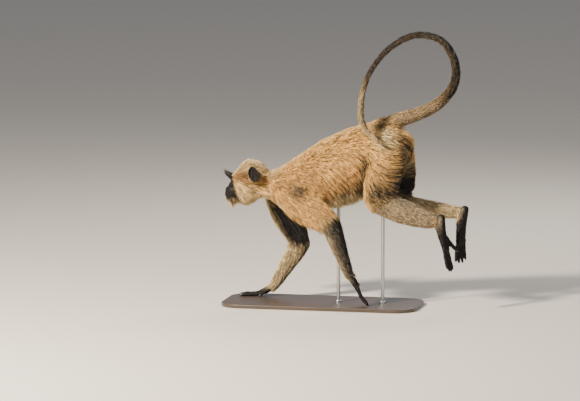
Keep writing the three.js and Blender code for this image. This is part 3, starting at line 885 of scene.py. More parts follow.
points = points_of(skin.data)
local = to_head(points)
front = local[:, 0] < -70
push = np.zeros(len(points))
lips = from_line(local, MOUTH)
push -= 1.7 * bump(lips, 0.9)
push += 0.7 * bump(lips - 3.0, 1.6) * front
for side in SIDES.values():
    slit = np.array([(-119, 3.2 * side, -35), (-117, 6.2 * side, -31.5), (-112, 9.5 * side, -29)])
    push -= 3.6 * bump(from_line(local, slit), 1.9)
    fold = np.array([(-99, 7 * side, -12), (-103, 13 * side, -26), (-100, 22 * side, -38),
                     (-93, 26 * side, -46)])
    push -= 1.0 * bump(from_line(local, fold), 2.2)
    centre, *_ = eye_frame(side)
    below = local - centre
    round_eye = np.hypot(below[:, 1], below[:, 2])
    for reach, depth in ((13.5, 0.55), (16.5, 0.4)):
        push -= depth * bump(round_eye - reach, 0.9) * (below[:, 2] < -3) * front
push += 0.35 * np.sin(local[:, 1] * 1.15) * bump(local[:, 0] + 119, 6) * bump(lips - 3.5, 3.5)
set_points(skin.data, points + normals_of(skin.data) * (push * MM)[:, None])


# ---------------------------------------------------------------- the lie of the coat
# An even mesh over the skin, the guide, holds at each of its corners how long and deep the
# coat is there and how it lies: the natural streams of the hair, which a museum follows
# tuft by tuft. It holds the markings and the painted light and shade too, and is removed once the coat is
# on.

GUIDE_VOXEL = 0.0043
guide = skin.copy()
guide.data = skin.data.copy()
bpy.context.scene.collection.objects.link(guide)
apply_modifier(guide, "REMESH", mode="VOXEL", voxel_size=GUIDE_VOXEL)
apply_modifier(guide, "TRIANGULATE")
g_points, g_normals, g_edges = points_of(guide.data), normals_of(guide.data), edges_of(guide.data)
g_owner = owners_at(g_points)
g_part = np.array([part_of(n) for n in flesh_names])[g_owner]
g_side = np.where(g_points[:, 1] < 0, "left", "right")
for side_name in SIDES:
    limbs = [flesh_names.index(n) for n in flesh_names if n.startswith(side_name)]
    g_side[np.isin(g_owner, limbs)] = side_name
g_plan = (g_points - PLAN) / MM
g_head = to_head(g_points)
count = len(g_points)


def near(place, reach):
    """How near the guide's corners are to a place on the plan, from 0 to 1."""
    return bump(np.linalg.norm(g_plan - place, axis=1), reach)


def is_part(*parts):
    return np.isin(g_part, parts)


# Where the coat grows: not on the face, ears, palms and soles. The face's edge lies further
# back low on the cheeks, and the hair starts a few millimetres before the black skin ends.
face_edge = -88 + 0.26 * (8 - g_head[:, 2])
in_front = (g_part == "head") | (np.linalg.norm(g_head - (-80, 0, -20), axis=1) < 62)
grown = ramp(g_head[:, 0] - face_edge, -1, 4)
grown = np.maximum(grown, ramp(g_head[:, 2], 12, 15))
grown = np.maximum(grown, ramp(-g_head[:, 2], 67, 70))
hairline = np.maximum(ramp(g_head[:, 0] - face_edge, -6, -1), ramp(-g_head[:, 2], 65, 69))
hairline = np.maximum(hairline, ramp(g_head[:, 2], 9, 13))
throat = ramp(-g_normals[:, 2], 0.3, 0.65) * ramp(-g_head[:, 2], 50, 57)
hairline, grown = np.maximum(hairline, throat), np.maximum(grown, throat)
fur = np.where(in_front, hairline, 1.0)
# How far from the bare face, in millimetres, and how far from an ear, where 1 is its edge.
off_face = np.where(in_front, np.maximum(g_head[:, 0] - face_edge, g_head[:, 2] - 12), 60.0)
off_face = np.maximum(off_face, np.where(in_front, (-63 - g_head[:, 2]) * 2, 0))
ear_lift = np.full(count, 1e3)
for side in SIDES.values():
    dish = mirrored(EAR_PLACE, side)
    rear, tall, opening = ear_frame(side)
    apart = g_head - dish
    lift = np.abs(apart @ opening + 3)
    across = np.hypot(apart @ rear / EAR_RADII[0], apart @ tall / EAR_RADII[1])
    ear_lift = np.minimum(ear_lift, np.maximum(lift / 16, across / 1.12))
fur *= ramp(ear_lift, 0.95, 1.05)
by_ear = 1 - ramp(ear_lift, 1.0, 2.4)
backs = np.zeros(count)
toes = np.zeros(count)
ankle = np.zeros(count)  # how near to the wrist or ankle a hand's or foot's back is
for name, spec in {**HANDS, **FEET}.items():
    place, along, up, across = extremity_frame(*spec[0])
    mine = g_owner == flesh_names.index(name)
    reach = (g_points - place) @ along / MM
    backs[mine] = ramp(g_normals[mine] @ up, -0.25, 0.3)
    toes[mine] = ramp(reach[mine], 70 if "hand" in name else 118, 100 if "hand" in name else 160)
    if "foot" in name:  # the hair of the shin runs on over the heel's sides and the instep
        upper = ramp(g_normals[mine] @ up, -0.8, -0.4) * (1 - ramp(reach[mine], 34, 60))
        upper *= 1 - ramp(-(g_normals[mine] @ along), 0.3, 0.7)
        backs[mine] = np.maximum(backs[mine], upper)
        ankle[mine] = (1 - ramp(reach[mine], 0, 52)) * upper
    else:
        ankle[mine] = (1 - ramp(reach[mine], 0, 30)) * backs[mine]
extreme = is_part("hand", "foot")
fur[extreme] *= (backs * (1 - 0.75 * toes))[extreme]

# Length and depth of the coat in millimetres, and the width of its locks.
LENGTHS = {"chest": 36, "belly": 38, "rump": 38, "neck": 34, "head": 28, "upper_arm": 34, "forearm": 22,
           "thigh": 42, "shank": 27, "tail": 17, "ear": 10, "hand": 9, "foot": 9}
WIDTHS = {"chest": 1.75, "belly": 1.9, "rump": 1.7, "neck": 1.6, "head": 1.2, "upper_arm": 1.5,
          "forearm": 1.3, "thigh": 1.7, "shank": 1.35, "tail": 1.3, "ear": 0.9, "hand": 0.9, "foot": 0.9}
length = np.array([LENGTHS[p] for p in g_part], float)
width = np.array([WIDTHS[p] for p in g_part], float)
depth = np.array([COAT_DEPTH[p] for p in g_part], float)
depth[extreme] = 1.6  # on the backs of the hands and feet
depth[is_part("tail")] += 1.5
length, width, depth = (spread(v, g_edges, 8) for v in (length, width, depth))
crown = np.where(in_front, ramp(g_head[:, 2], 8, 26), 0)
edge_of_face = ramp(off_face, 0, 34 - 18 * crown)
length = np.where(in_front, 5 + (length - 5) * edge_of_face, length)
depth = np.where(in_front, 2.2 + (depth - 2.2) * ramp(off_face, 0, 34 + 20 * crown), depth)
# Under the jaw, towards the neck, the coat is thinner.
depth -= 9 * np.where(is_part("head"), ramp(-g_head[:, 2], 25, 50) * ramp(g_head[:, 0], -55, -25), 0)
width = np.where(in_front, 0.75 + (width - 0.75) * edge_of_face, width)
length *= 1 - 0.65 * by_ear
length += 8 * ankle

# Where the coat is long and falls in separate locks, and where its tips hang down.
lateral = np.abs(g_normals[:, 1])
facing_down = ramp(-g_normals[:, 2], 0.1, 0.75)
low_flank = is_part("belly", "chest") * ramp(lateral, 0.45, 0.9) * ramp(-g_normals[:, 2], -0.35, 0.25)
low_flank *= ramp(g_plan[:, 0], -150, -60)
hind_thigh = is_part("thigh", "rump") * ramp(lateral, 0.3, 0.8)
knee_front = is_part("thigh") * ramp(-g_normals[:, 0], 0.3, 0.8)
beard = ramp(-g_head[:, 2], 34, 56) * ramp(-g_head[:, 0], 44, 64) * in_front
whisker = in_front * ramp(lateral, 0.4, 0.8) * ramp(-g_head[:, 2], -10, 30) * ramp(g_head[:, 0], -82, -50)
shag = 0.33 + 0.75 * low_flank + 0.6 * hind_thigh + 0.5 * beard + 0.4 * whisker
shag += 0.2 * is_part("upper_arm", "forearm") + 0.35 * is_part("head") * crown - 0.1 * is_part("neck")
shag = spread(np.clip(shag, 0, 1), g_edges, 6)
belly_hang = is_part("belly", "chest") * facing_down * ramp(g_plan[:, 0], -150, -60)
length += spread(11 * belly_hang + 6 * knee_front + 3 * whisker, g_edges, 4)
chin = ramp(-g_head[:, 0], 72, 88)
length += spread(beard * (14 - 12 * chin) - 9 * is_part("head") * ramp(-g_head[:, 2], 30, 50)
                 * ramp(g_head[:, 0], -55, -35), g_edges, 2)
tail_tip = is_part("tail") * near((128, -124, 572), 26)
length += spread(22 * tail_tip, g_edges, 2)
depth += spread(4 * tail_tip, g_edges, 2)
tuft = np.clip(1.4 * is_part("tail") * near((134, -126, 566), 24), 0, 1)
behind_arm = is_part("forearm") * ramp(g_normals[:, 0], 0.2, 0.8)
length += spread(8 * behind_arm, g_edges, 3)
depth += spread(3 * behind_arm, g_edges, 3)
arm_fringe = is_part("upper_arm") * ramp(g_normals @ ARM_FRONT, 0.2, 0.8)
arm_fringe *= np.where(g_side == "left", 1, 0.5)
length += spread(12 * arm_fringe, g_edges, 3)
depth += spread(6 * arm_fringe, g_edges, 3)
hang = np.clip(1.0 * belly_hang + 0.25 * low_flank + 1.2 * beard + 0.35 * arm_fringe, 0, 1)
hang = spread(hang, g_edges, 4)

def point_tree(points):
    """A tree that finds which of the points is nearest."""
    made = KDTree(len(points))
    for i, p in enumerate(points):
        made.insert(p, i)
    made.balance()
    return made


# The way the coat lies: back and down over the trunk, and along each limb and the tail.
BONES = {}
for name, (first, middle, last) in JOINTS.items():
    side_name, limb = name.split("_")
    for part, a, b in zip(("upper_arm", "forearm") if limb == "arm" else ("thigh", "shank"),
                          (first, middle), (middle, last)):
        BONES[f"{side_name}_{part}"] = unit(np.subtract(b, a))
flow = np.zeros((count, 3))
trunk = is_part(*TRUNK)
axis_z = 392 + (g_plan[:, 0] + 170) * 0.44  # the body's middle line, which rises to the rear
level = np.clip((g_plan[:, 2] - axis_z) / 85, -1, 1)
flow[trunk] = (0.93, 0, 0.37)
flow[trunk, 2] -= (1.0 - 0.8 * level)[trunk]
neck = is_part("neck")
flow[neck] = (0.9, 0, 0.05)
flow[neck, 2] -= (0.55 - 0.5 * np.clip((g_plan[:, 2] - 405) / 45, -1, 1))[neck]
for name, bone in BONES.items():
    mine = g_owner == flesh_names.index(name)
    flow[mine] = bone
    part = part_of(name)
    flow[mine] += {"upper_arm": (0.45, 0, 0), "forearm": (0.3, 0, 0), "thigh": (0, 0, 0),
                   "shank": (0, 0, -0.25)}[part]
    if part == "thigh":
        forward = np.clip((g_plan[mine, 0] - 130) / 60, -1, 1)[:, None]
        drop = np.clip((g_plan[mine, 2] - 450) / 90, -1, 1)[:, None]
        flow[mine] = (1.0, 0, 0) + bone * np.clip(0.6 - 0.75 * forward - 0.15 * drop, -0.35, 1.8)
for name, spec in {**HANDS, **FEET}.items():
    flow[g_owner == flesh_names.index(name)] = extremity_frame(*spec[0])[1]
tail_line = smooth_line(TAIL_LINE, 12)
tail_ways = unit(np.gradient(tail_line, axis=0))
tail_tree = point_tree(tail_line)
for i in np.flatnonzero(is_part("tail")):
    flow[i] = tail_ways[tail_tree.find(g_points[i])[1]]
# On the head it spreads from the middle of the face, up over the crown and down the cheeks.
on_head = is_part("head", "ear")
from_face = unit((g_head - (-108, 0, -8)) * (0.35, 1, 1))
spread_way = from_face + (1.15, 0, 0)
low_front = ramp(-g_head[:, 2], 20, 55) * ramp(-g_head[:, 0], 30, 70)
spread_way[:, 0] -= 1.2 * low_front
spread_way[:, 2] += np.where(g_head[:, 2] < 6, -0.75 - 0.6 * low_front, 0.45 * ramp(-g_head[:, 0], 10, 60))
flow[on_head] = spread_way[on_head] @ HEAD_TURN.T


def laid(ways):
    """Directions pressed into the surface."""
    return unit(ways - g_normals * np.sum(ways * g_normals, axis=1)[:, None])


flow = laid(flow)
for _ in range(6):
    flow = laid(spread(flow, g_edges, 2))

# Each corner's guide hair, followed over the surface in even steps.
STEPS = 4
guide_tree = tree_of(guide.data)
corner_tree = point_tree(g_points)
trail = np.zeros((STEPS + 1, count, 3))
trail_up = np.zeros((STEPS + 1, count, 3))
trail[0], trail_up[0] = g_points, g_normals
way = flow.copy()
for step in range(1, STEPS + 1):
    reached = trail[step - 1] + way * (length * MM / STEPS)[:, None]
    for i in range(count):
        place, normal, _, _ = guide_tree.find_nearest(reached[i])
        trail[step, i] = place
        trail_up[step, i] = g_normals[corner_tree.find(place)[1]]
        way[i] = 0.55 * way[i] + 0.45 * flow[corner_tree.find(place)[1]]
    trail_up[step] = unit(0.5 * trail_up[step] + 0.5 * trail_up[step - 1])
    held = 0.8 * (1 - tuft)[:, None]  # the tuft at the tail's tip leaves the surface
    trail[step] = held * trail[step] + (1 - held) * reached
    way = unit(way - trail_up[step] * np.sum(way * trail_up[step], axis=1)[:, None])


# ---------------------------------------------------------------- the markings and painted light
# How pale, grey, dark and ginger the coat is, from 0 to 1. It is gold over the back and
# flanks, grey on the limbs and tail, pale on the head and beneath, and black on the face,
# ears, hands and feet. A museum tones faded hair with thin dye. Much of the dark is painted
# shade in creases, hollows, between parts and on shaded sides, and some pale is painted light.

def soften(values, rounds):
    return np.clip(spread(values, g_edges, rounds), 0, 1)


def near_both(place, reach):
    """As near, to a place on the left side and to the same place on the right."""
    x, y, z = place
    return near((x, y, z), reach) + near((x, -y, z), reach)


def facing(direction, start=0.1, end=0.8):
    return ramp(g_normals @ unit(direction), start, end)


inwards = g_normals[:, 1] * np.where(g_side == "left", 1, -1)
on_left, on_right = g_side == "left", g_side == "right"
arm, lower_limb = is_part("upper_arm"), is_part("forearm", "shank")
thigh, forearm, shank, on_tail = is_part("thigh"), is_part("forearm"), is_part("shank"), is_part("tail")
# The tail's hanging end, on the left of its loop, is pale, and its raised loop dark.
tail_end = on_tail * ramp(-g_plan[:, 0], -128, -112) * ramp(-g_plan[:, 2], -850, -720)
tail_loop = on_tail * ramp(g_plan[:, 2], 650, 760)
temple = bump(g_head[:, 2] - 14 + 0.22 * (g_head[:, 0] + 60), 13) * ramp(lateral, 0.3, 0.7) * is_part("head")
cheek_stripe = bump(g_head[:, 0] + 34 + 0.45 * (g_head[:, 2] + 30), 7) * ramp(lateral, 0.3, 0.7)

pale = soften(0.52 * is_part("head") + 0.12 * is_part("neck", "hand") + 0.1 * shank, 40)
# The underside is pale in its own colour, made paler still as painted light.
pale += 1.6 * trunk * facing((0, 0, -1), 0.4, 0.58)
pale += 1.4 * near_both((124, -58, 578), 28) + 0.8 * near_both((144, -66, 558), 24)
pale += 0.4 * is_part("upper_arm", "thigh") * ramp(inwards, 0.1, 0.8)
# The far limbs and the fronts of the arms are paler: partly their own colour, partly painted light on the
# sides facing forwards.
pale += 0.6 * lower_limb * on_right * (1 + 0.6 * facing((-1, 0, 0.2)))
pale += 0.4 * arm * on_right * facing((-1, -0.3, 0)) + 0.3 * forearm * facing((-1, 0, 0))
pale += 0.6 * near((-300, 0, 470), 30) + 0.25 * near_both((-244, -12, 446), 24)
pale += 0.7 * tail_tip + 0.4 * tail_end
pale += 0.3 * in_front * ramp(-g_head[:, 2], 10, 50) + 0.4 * beard - 0.6 * temple
pale += 0.35 * is_part("head") * cheek_stripe * ramp(-g_head[:, 2], 0, 15)

grey = soften(1.1 * forearm + 0.85 * shank + 0.75 * on_tail, 40)
grey += 0.3 * trunk * facing((0, 0, 1), 0.6, 0.97) + 0.6 * arm * on_right
grey += 0.2 * shank * facing((0, 0, 1)) - 0.35 * tail_tip - 0.35 * tail_loop + 0.3 * is_part("head") * crown
grey = np.where(is_part("foot", "hand"), 1.0, grey)

ginger = 0.95 * temple * ramp(-g_head[:, 0], 24, 40) + 0.35 * near_both((-262, -38, 424), 30)
ginger += 0.2 * is_part("upper_arm", "chest") + 0.25 * low_flank

dark_hair_and_shade = 0.3 * temple * ramp(-g_head[:, 0], 20, 36) + 0.12 * arm * on_left
# A painted shadow along the flank's lower edge, under the ends of its hanging hair.
dark_hair_and_shade += 0.6 * is_part("belly", "chest") * bump(g_normals[:, 2] + 0.38, 0.14) * ramp(g_plan[:, 0], -60, 10)
# Painted shade at the flank's rear edge behind its hanging hair and in the armpit, and darker hair with
# painted shade on the outer side of the thigh.
for place, reach, much in (((72, -62, 500), 16, 1.0), ((68, -60, 476), 15, 0.9), ((58, -56, 450), 14, 0.8),
                           ((44, -50, 424), 13, 0.5), ((-164, -88, 394), 15, 0.9),
                           ((-146, -90, 396), 15, 0.9), ((138, -96, 460), 34, 0.45),
                           ((120, -100, 370), 26, 0.15)):
    dark_hair_and_shade += much * near_both(place, reach)
# A band across the outer side of the thigh, above the knee: darker hair, partly painted shade.
dark_hair_and_shade += 0.95 * thigh * bump(g_plan[:, 2] - 406, 26) * ramp(lateral, 0.3, 0.8) * ramp(g_plan[:, 0], 62, 110)
# Darker hair with painted shade between the buttocks and down the back of the near thigh, and painted shade
# between the thighs.
behind = is_part("thigh", "rump") * facing((1, 0, -0.1), 0.0, 0.5)
dark_hair_and_shade += 0.85 * behind * ramp(-g_plan[:, 2], -455, -415)
dark_hair_and_shade += 0.9 * behind * ramp(-np.abs(g_plan[:, 1] + 12), -40, -24) * ramp(-g_plan[:, 2], -575, -550)
for place, reach in (((184, -44, 578), 15), ((196, -42, 562), 16), ((182, -60, 548), 18),
                     ((182, -66, 520), 17), ((184, -70, 490), 17), ((184, -76, 460), 19),
                     ((184, -82, 426), 23)):
    dark_hair_and_shade += 0.85 * near(place, reach)
dark_hair_and_shade += 0.6 * thigh * ramp(inwards, 0.3, 0.9) * facing((-1, 0, 0), -0.9, -0.2)
# The arms' backs, darker hair with painted shade, a painted shadow over the far upper arm, and the top of
# the shanks.
rear_of_arm = np.where(on_left, facing((1, 0, 0.1), -0.4, 0.4), facing((1, 0.4, 0.1), 0.0, 0.7))
dark_hair_and_shade += 0.95 * forearm * rear_of_arm + 1.5 * arm * on_right * facing((0.6, -0.8, 0), 0.0, 0.45)
dark_hair_and_shade += 0.35 * shank * facing((1, 0, 1), 0.2, 0.8) * ramp(-g_plan[:, 0], -240, -170)
# A ring of darker hair and painted shade round the tail's root, and the outside of its loop darker, partly
# painted shade.
dark_hair_and_shade += 1.2 * near((103, 0, 622), 20) + 1.0 * near_both((98, -30, 604), 14)
outer = np.sum(unit((g_plan - (225, -40, 762)) * (1, 0.2, 1)) * g_normals, axis=1)
risen = ramp(g_plan[:, 2], 650, 760)
dark_hair_and_shade += on_tail * (0.6 * ramp(outer, -0.4, 0.5) * (0.4 + 0.8 * risen) + 0.8 * risen)
dark_hair_and_shade *= 1 - 0.85 * tail_end
# The rear side of the tail near its root, painted shade.
dark_hair_and_shade += 0.75 * on_tail * (g_plan[:, 0] < 130) * facing((1, 0.3, 0), 0.3, 0.8) * (g_plan[:, 2] > 600)
dark_hair_and_shade = np.clip(dark_hair_and_shade, 0, 0.93)

seat = ramp(near_both((226, -24, 548), 22), 0.4, 0.7)  # the bare pads that it sits on
bare_black = 1.0 * is_part("ear") + np.where(in_front, 1 - grown, 0) + seat
bare_black = np.maximum(bare_black, is_part("foot", "hand") * (1 - 0.85 * ankle * fur))
fur *= 1 - 0.95 * seat

pale, grey, ginger = soften(pale, 5), soften(grey, 6), soften(ginger, 5)
black = np.maximum(soften(dark_hair_and_shade, 3), soften(bare_black, 1))
black *= 1.85 - 0.85 * black
markings = np.stack([pale, grey, black], 1)


# ---------------------------------------------------------------- the skin: its finish
# Bare skin is black and leathery, finely creased, with a dull sheen. Elsewhere the skin is
# down in the coat's own colours, so that no bare gap shows between the locks.

# It takes its markings and painted light and shade from the nearest corners of the guide.
points = points_of(skin.data)
skin_marks = np.zeros((len(points), 4))
shared = np.column_stack([markings, fur])
for i, p in enumerate(points):
    found = corner_tree.find_n(p, 3)
    weights = np.array([1 / (distance + 1e-4) for _, _, distance in found])
    skin_marks[i] = weights @ shared[[index for _, index, _ in found]] / weights.sum()


def store(mesh, name, values):
    """Values at a mesh's vertices, kept as its attribute."""
    kind = "FLOAT" if values.ndim == 1 else "FLOAT_VECTOR"
    attribute = mesh.attributes.new(name, kind, "POINT")
    attribute.data.foreach_set("value" if values.ndim == 1 else "vector", values.astype(np.float32).ravel())


store(skin.data, "markings", skin_marks[:, :3])
store(skin.data, "bare", 1 - skin_marks[:, 3])

# Each colour darkens from tip to root: partly the hair's own colour, partly painted shade deep in the coat.
GOLD_ROOT, GOLD, GOLD_TIP = colour(0.08, 0.038, 0.013), colour(0.51, 0.262, 0.067), colour(0.9, 0.57, 0.195)
PALE_ROOT, PALE = colour(0.13, 0.078, 0.03), colour(0.9, 0.69, 0.36)
GREY_ROOT, GREY = colour(0.042, 0.031, 0.02), colour(0.475, 0.37, 0.24)
BLACK_HAIR = colour(0.013, 0.011, 0.010)
GINGER = colour(0.42, 0.19, 0.06)


def three_of(tree, attribute):
    """The three numbers of a piece's attribute, each as a socket."""
    whole = node(tree, "Attribute", {"attribute_name": attribute}, out=1)
    split = node(tree, "SeparateXYZ", None, {0: whole})
    return [Socket(tree, out) for out in split.out.node.outputs]


def noise(tree, place, scale, detail, **more):
    return node(tree, "TexNoise", None, {"Vector": place, "Scale": scale, "Detail": detail, **more})


def marked(tree, along, tone, ginger_amount):
    """The coat's colour from its markings and painted shade, darkest at the root, from root to
    tip, a little varied, and how black it is."""
    paleness, greyness, blackness = three_of(tree, "markings")
    gold = node(tree, "ValToRGB", {"stops": [(0.0, GOLD_ROOT[:3]), (0.45, GOLD[:3]), (1.0, GOLD_TIP[:3])]},
                {0: along})
    gold = mix(tree, ginger_amount, gold, GINGER)
    light = mix(tree, along, PALE_ROOT, PALE)
    dull = mix(tree, along, GREY_ROOT, GREY)
    made = mix(tree, greyness, gold, dull)
    made = mix(tree, paleness * (0.86 + tone * 0.3), made, light)
    made = mix(tree, blackness, made, BLACK_HAIR)
    bright = tone * 1.5 + 0.3
    return node(tree, "VectorMath", {"operation": "SCALE"}, {0: made, 3: bright}), blackness


skin_finish, tree, shader = new_material("skin and down", Roughness=0.6)
shader.inputs["Specular IOR Level"].default_value = 0.13
place = node(tree, "TexCoord", out=3)
down = noise(tree, place, 160.0, 4.0)
coat_colour, _ = marked(tree, down * 0.4 + 0.2, down, 0.0)
bare_amount = node(tree, "Attribute", {"attribute_name": "bare"}, out=2)
pores = node(tree, "TexVoronoi", None, {"Vector": place, "Scale": 1100.0})
creases = noise(tree, place, 330.0, 3.0, Roughness=0.55)
mottle = noise(tree, place, 70.0, 5.0, Roughness=0.6)
leather = mix(tree, mottle, colour(0.004, 0.0034, 0.0032), colour(0.016, 0.012, 0.011))
skin_colour = mix(tree, bare_amount, coat_colour, leather)
tree.links.new(skin_colour.out, shader.inputs["Base Color"])
tree.links.new((0.85 - bare_amount * (0.2 + mottle * 0.22)).out, shader.inputs["Roughness"])
relief = node(tree, "Bump", None, {"Strength": 0.45, "Distance": 0.0006,
                                   "Height": pores * 0.3 + mottle * 0.9 + creases * 0.8})
tree.links.new(relief.out, shader.inputs["Normal"])
skin.data.materials.clear()
skin.data.materials.append(skin_finish)
select_only(skin)
bpy.ops.object.shade_smooth()
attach(skin, "root")
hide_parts(*flesh_names)


# ---------------------------------------------------------------- the coat
# Fine hair in tapering locks that lie along the body and overlap like thatch, their tips
# drawn together in small clumps. A museum's model has real hair set in by hand.

dice = np.random.default_rng(52)
triangles = np.array([p.vertices[:] for p in guide.data.polygons])
corners = g_points[triangles]
areas = np.linalg.norm(np.cross(corners[:, 1] - corners[:, 0], corners[:, 2] - corners[:, 0]), axis=1) / 2
part_of_face = g_part[triangles[:, 0]]
side_of_face = g_side[triangles[:, 0]]


def blended(values, faces, mixture):
    """Values at the guide's corners, blended at places in its triangles."""
    picked = values[triangles[faces]]
    return np.einsum("nc,nc...->n...", mixture, picked)


def scattered(chosen, weight, number):
    """Random places on some of the guide's triangles: their faces and mixtures."""
    chance = (areas * weight)[chosen]
    faces = dice.choice(chosen, number, p=chance / chance.sum())
    a, b = np.sqrt(dice.random(number)), dice.random(number)
    return faces, np.stack([1 - a, a * (1 - b), a * b], 1)


def unwrapped(chosen):
    """An unwrap of some of the guide's triangles: the place of each of their corners."""
    mesh = bpy.data.meshes.new("unwrap")
    used, renumbered = np.unique(triangles[chosen], return_inverse=True)
    mesh.from_pydata(g_points[used].tolist(), [], renumbered.reshape(-1, 3).tolist())
    piece = bpy.data.objects.new("unwrap", mesh)
    bpy.context.scene.collection.objects.link(piece)
    select_only(piece)
    bpy.ops.object.mode_set(mode="EDIT")
    bpy.ops.mesh.select_all(action="SELECT")
    bpy.ops.uv.smart_project(angle_limit=math.radians(66), island_margin=0.004)
    bpy.ops.object.mode_set(mode="OBJECT")
    flat = np.empty(len(mesh.loops) * 2, np.float32)
    mesh.uv_layers[0].data.foreach_get("uv", flat)
    places = np.zeros((len(triangles), 3, 2))
    places[chosen] = flat.reshape(-1, 3, 2)
    bpy.data.objects.remove(piece)
    bpy.data.meshes.remove(mesh)
    return places


BAKE_PATCH = 0.0015  # half the size of a lock's patch in the map that its colours are baked on


def locks_mesh(name, spine, across, over, wide, uv, extra):
    """Locks with three sides from root to tip, closed at the root. spine is locks x rings
    x 3, the last ring being the tip; extra holds values for each lock and ring."""
    locks, rings, _ = spine.shape
    body_rings = rings - 1
    half = wide[..., None] / 2
    left = spine[:, :-1] - across[:, :-1] * half - over[:, :-1] * half * 0.28
    right = spine[:, :-1] + across[:, :-1] * half - over[:, :-1] * half * 0.28
    crest = spine[:, :-1] + over[:, :-1] * half * 0.62
    ringed = np.stack([left, right, crest], 2).reshape(locks, body_rings * 3, 3)
    points = np.concatenate([ringed, spine[:, -1:]], 1)
    each = body_rings * 3 + 1
    faces = [(2, 1, 0)]
    for r in range(body_rings - 1):
        for s in range(3):
            a, b = r * 3 + s, r * 3 + (s + 1) % 3
            faces.append((a, b, b + 3, a + 3))
    last = (body_rings - 1) * 3
    faces += [(last + s, last + (s + 1) % 3, each - 1) for s in range(3)]
    sizes = np.array([len(f) for f in faces])
    flat = np.concatenate([np.array(f) for f in faces])
    loops = (flat[None, :] + (np.arange(locks) * each)[:, None]).ravel()
    mesh = bpy.data.meshes.new(name)
    mesh.vertices.add(locks * each)
    mesh.loops.add(len(loops))
    mesh.polygons.add(locks * len(faces))
    mesh.vertices.foreach_set("co", points.astype(np.float32).ravel())
    mesh.loops.foreach_set("vertex_index", loops.astype(np.int32))
    total = np.tile(sizes, locks)
    mesh.polygons.foreach_set("loop_start", (np.cumsum(total) - total).astype(np.int32))
    mesh.update(calc_edges=True)
    mesh.validate()
    # Each lock takes its baked colour from a small patch of the map, at its root's place.
    ring_of = np.append(np.repeat(np.arange(body_rings), 3), body_rings)
    shift = np.zeros((each, 2))
    shift[:-1, 0] = np.tile([-BAKE_PATCH, BAKE_PATCH, 0], body_rings)
    shift[:, 1] = (ring_of / body_rings - 0.5) * 2 * BAKE_PATCH
    places = (uv[:, None, :] + shift[None]).reshape(-1, 2)
    layer = mesh.uv_layers.new(name="OFBake")
    layer.data.foreach_set("uv", places[loops].astype(np.float32).ravel())
    for key, values in extra.items():
        store(mesh, key, values[:, ring_of].reshape(-1, values.shape[-1]))
    store(mesh, "across", np.tile(np.append(np.tile([0, 1, 0.5], body_rings), 0.5), locks))
    mesh.shade_smooth()
    made = bpy.data.objects.new(name, mesh)
    bpy.context.scene.collection.objects.link(made)
    return made


hair_finish, tree, shader = new_material("coat hair", Roughness=0.55, Sheen_Weight=0.06, Sheen_Roughness=0.4)
shader.inputs["Specular IOR Level"].default_value = 0.22
tone, from_root, gingery = three_of(tree, "strand")
place = node(tree, "TexCoord", out=3)
drift = noise(tree, place, 24.0, 2.0)
over_lock = node(tree, "Attribute", {"attribute_name": "across"}, out=2)
# Single hairs: streaks that run along each lock, in a pattern of its own.
fine = node(tree, "CombineXYZ", None, {0: over_lock * 4.5 + tone * 83, 1: from_root * 1.6, 2: tone * 57})
hairs = noise(tree, fine, 1.0, 1.0)
hair_colour, black_share = marked(tree, from_root, tone * 0.6 + drift * 0.15 + hairs * 0.25, gingery)
tree.links.new(hair_colour.out, shader.inputs["Base Color"])
tree.links.new((0.62 - black_share * 0.2).out, shader.inputs["Roughness"])

CLUMPS_ASKED = 12  # nearest clumps that a lock chooses from
LONG_CLUMPS = 0.93  # how much less a clump's distance counts along the coat than across it


def clump_of(roots, heads, ways):
    """The clump that each lock belongs to: the nearest, with clumps longer along the coat."""
    finder = point_tree(heads)
    chosen = np.empty((len(roots), CLUMPS_ASKED), int)
    for i, p in enumerate(roots):
        chosen[i] = [index for _, index, _ in finder.find_n(p, CLUMPS_ASKED)]
    apart = heads[chosen] - roots[:, None]
    along = np.einsum("nkc,nc->nk", apart, ways)
    nearest = np.argmin(np.sum(apart**2, axis=2) - LONG_CLUMPS * along**2, axis=1)
    return chosen[np.arange(len(roots)), nearest]


def on_trail(path, when):
    """Places on paths of even steps, past the end along the last step."""
    where = np.clip(when * STEPS, 0, STEPS + 0.8)
    low = np.minimum(where.astype(int), STEPS - 1)
    rows = np.arange(len(path))[:, None]
    return path[rows, low] + (path[rows, low + 1] - path[rows, low]) * (where - low)[..., None]


def dressed(name, chosen, faces, mixture, spine, ups, t, wide, tones, marks):
    """A piece of the coat from its locks' lines, rooted in the guide's triangles."""
    ahead = unit(np.gradient(spine, axis=1))
    across = unit(np.cross(ups, ahead))
    over = np.cross(ahead, across)
    # A lock is widest a third of the way along and ends in a point.
    wide = wide[:, None] * np.interp(t[:-1], [0, 0.3, 0.6, 0.9], [0.6, 1.0, 0.85, 0.4])
    each_ring = np.ones(spine.shape[:2])
    strand_values = np.stack([each_ring * tones[:, None], each_ring * t,
                              each_ring * blended(ginger, faces, mixture)[:, None]], 2)
    marks = each_ring[..., None] * marks[:, None]
    uv_places = np.einsum("nc,ncd->nd", mixture, unwrapped(chosen)[faces])
    extra = {"markings": marks, "strand": strand_values}
    made = locks_mesh(name, spine, across, over, wide, uv_places, extra)
    made.data.materials.append(hair_finish)
    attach(made, "root")
    return made


CLUMP_SPACING, SHAGGY_SPACING = 4.2, 6.5  # millimetres, and how much more where it's shaggy
LOCK_REACH = (0.72, 1.14)  # the shortest and longest lock, as shares of the coat's length
LOCK_WIDTH = (0.65, 1.35)  # and the narrowest and widest, as shares of its width
STRAY, CLUMP_STRAY = 0.035, 0.03  # how far single locks and whole clumps lean out of line
ROOT_SUNK = 0.0008


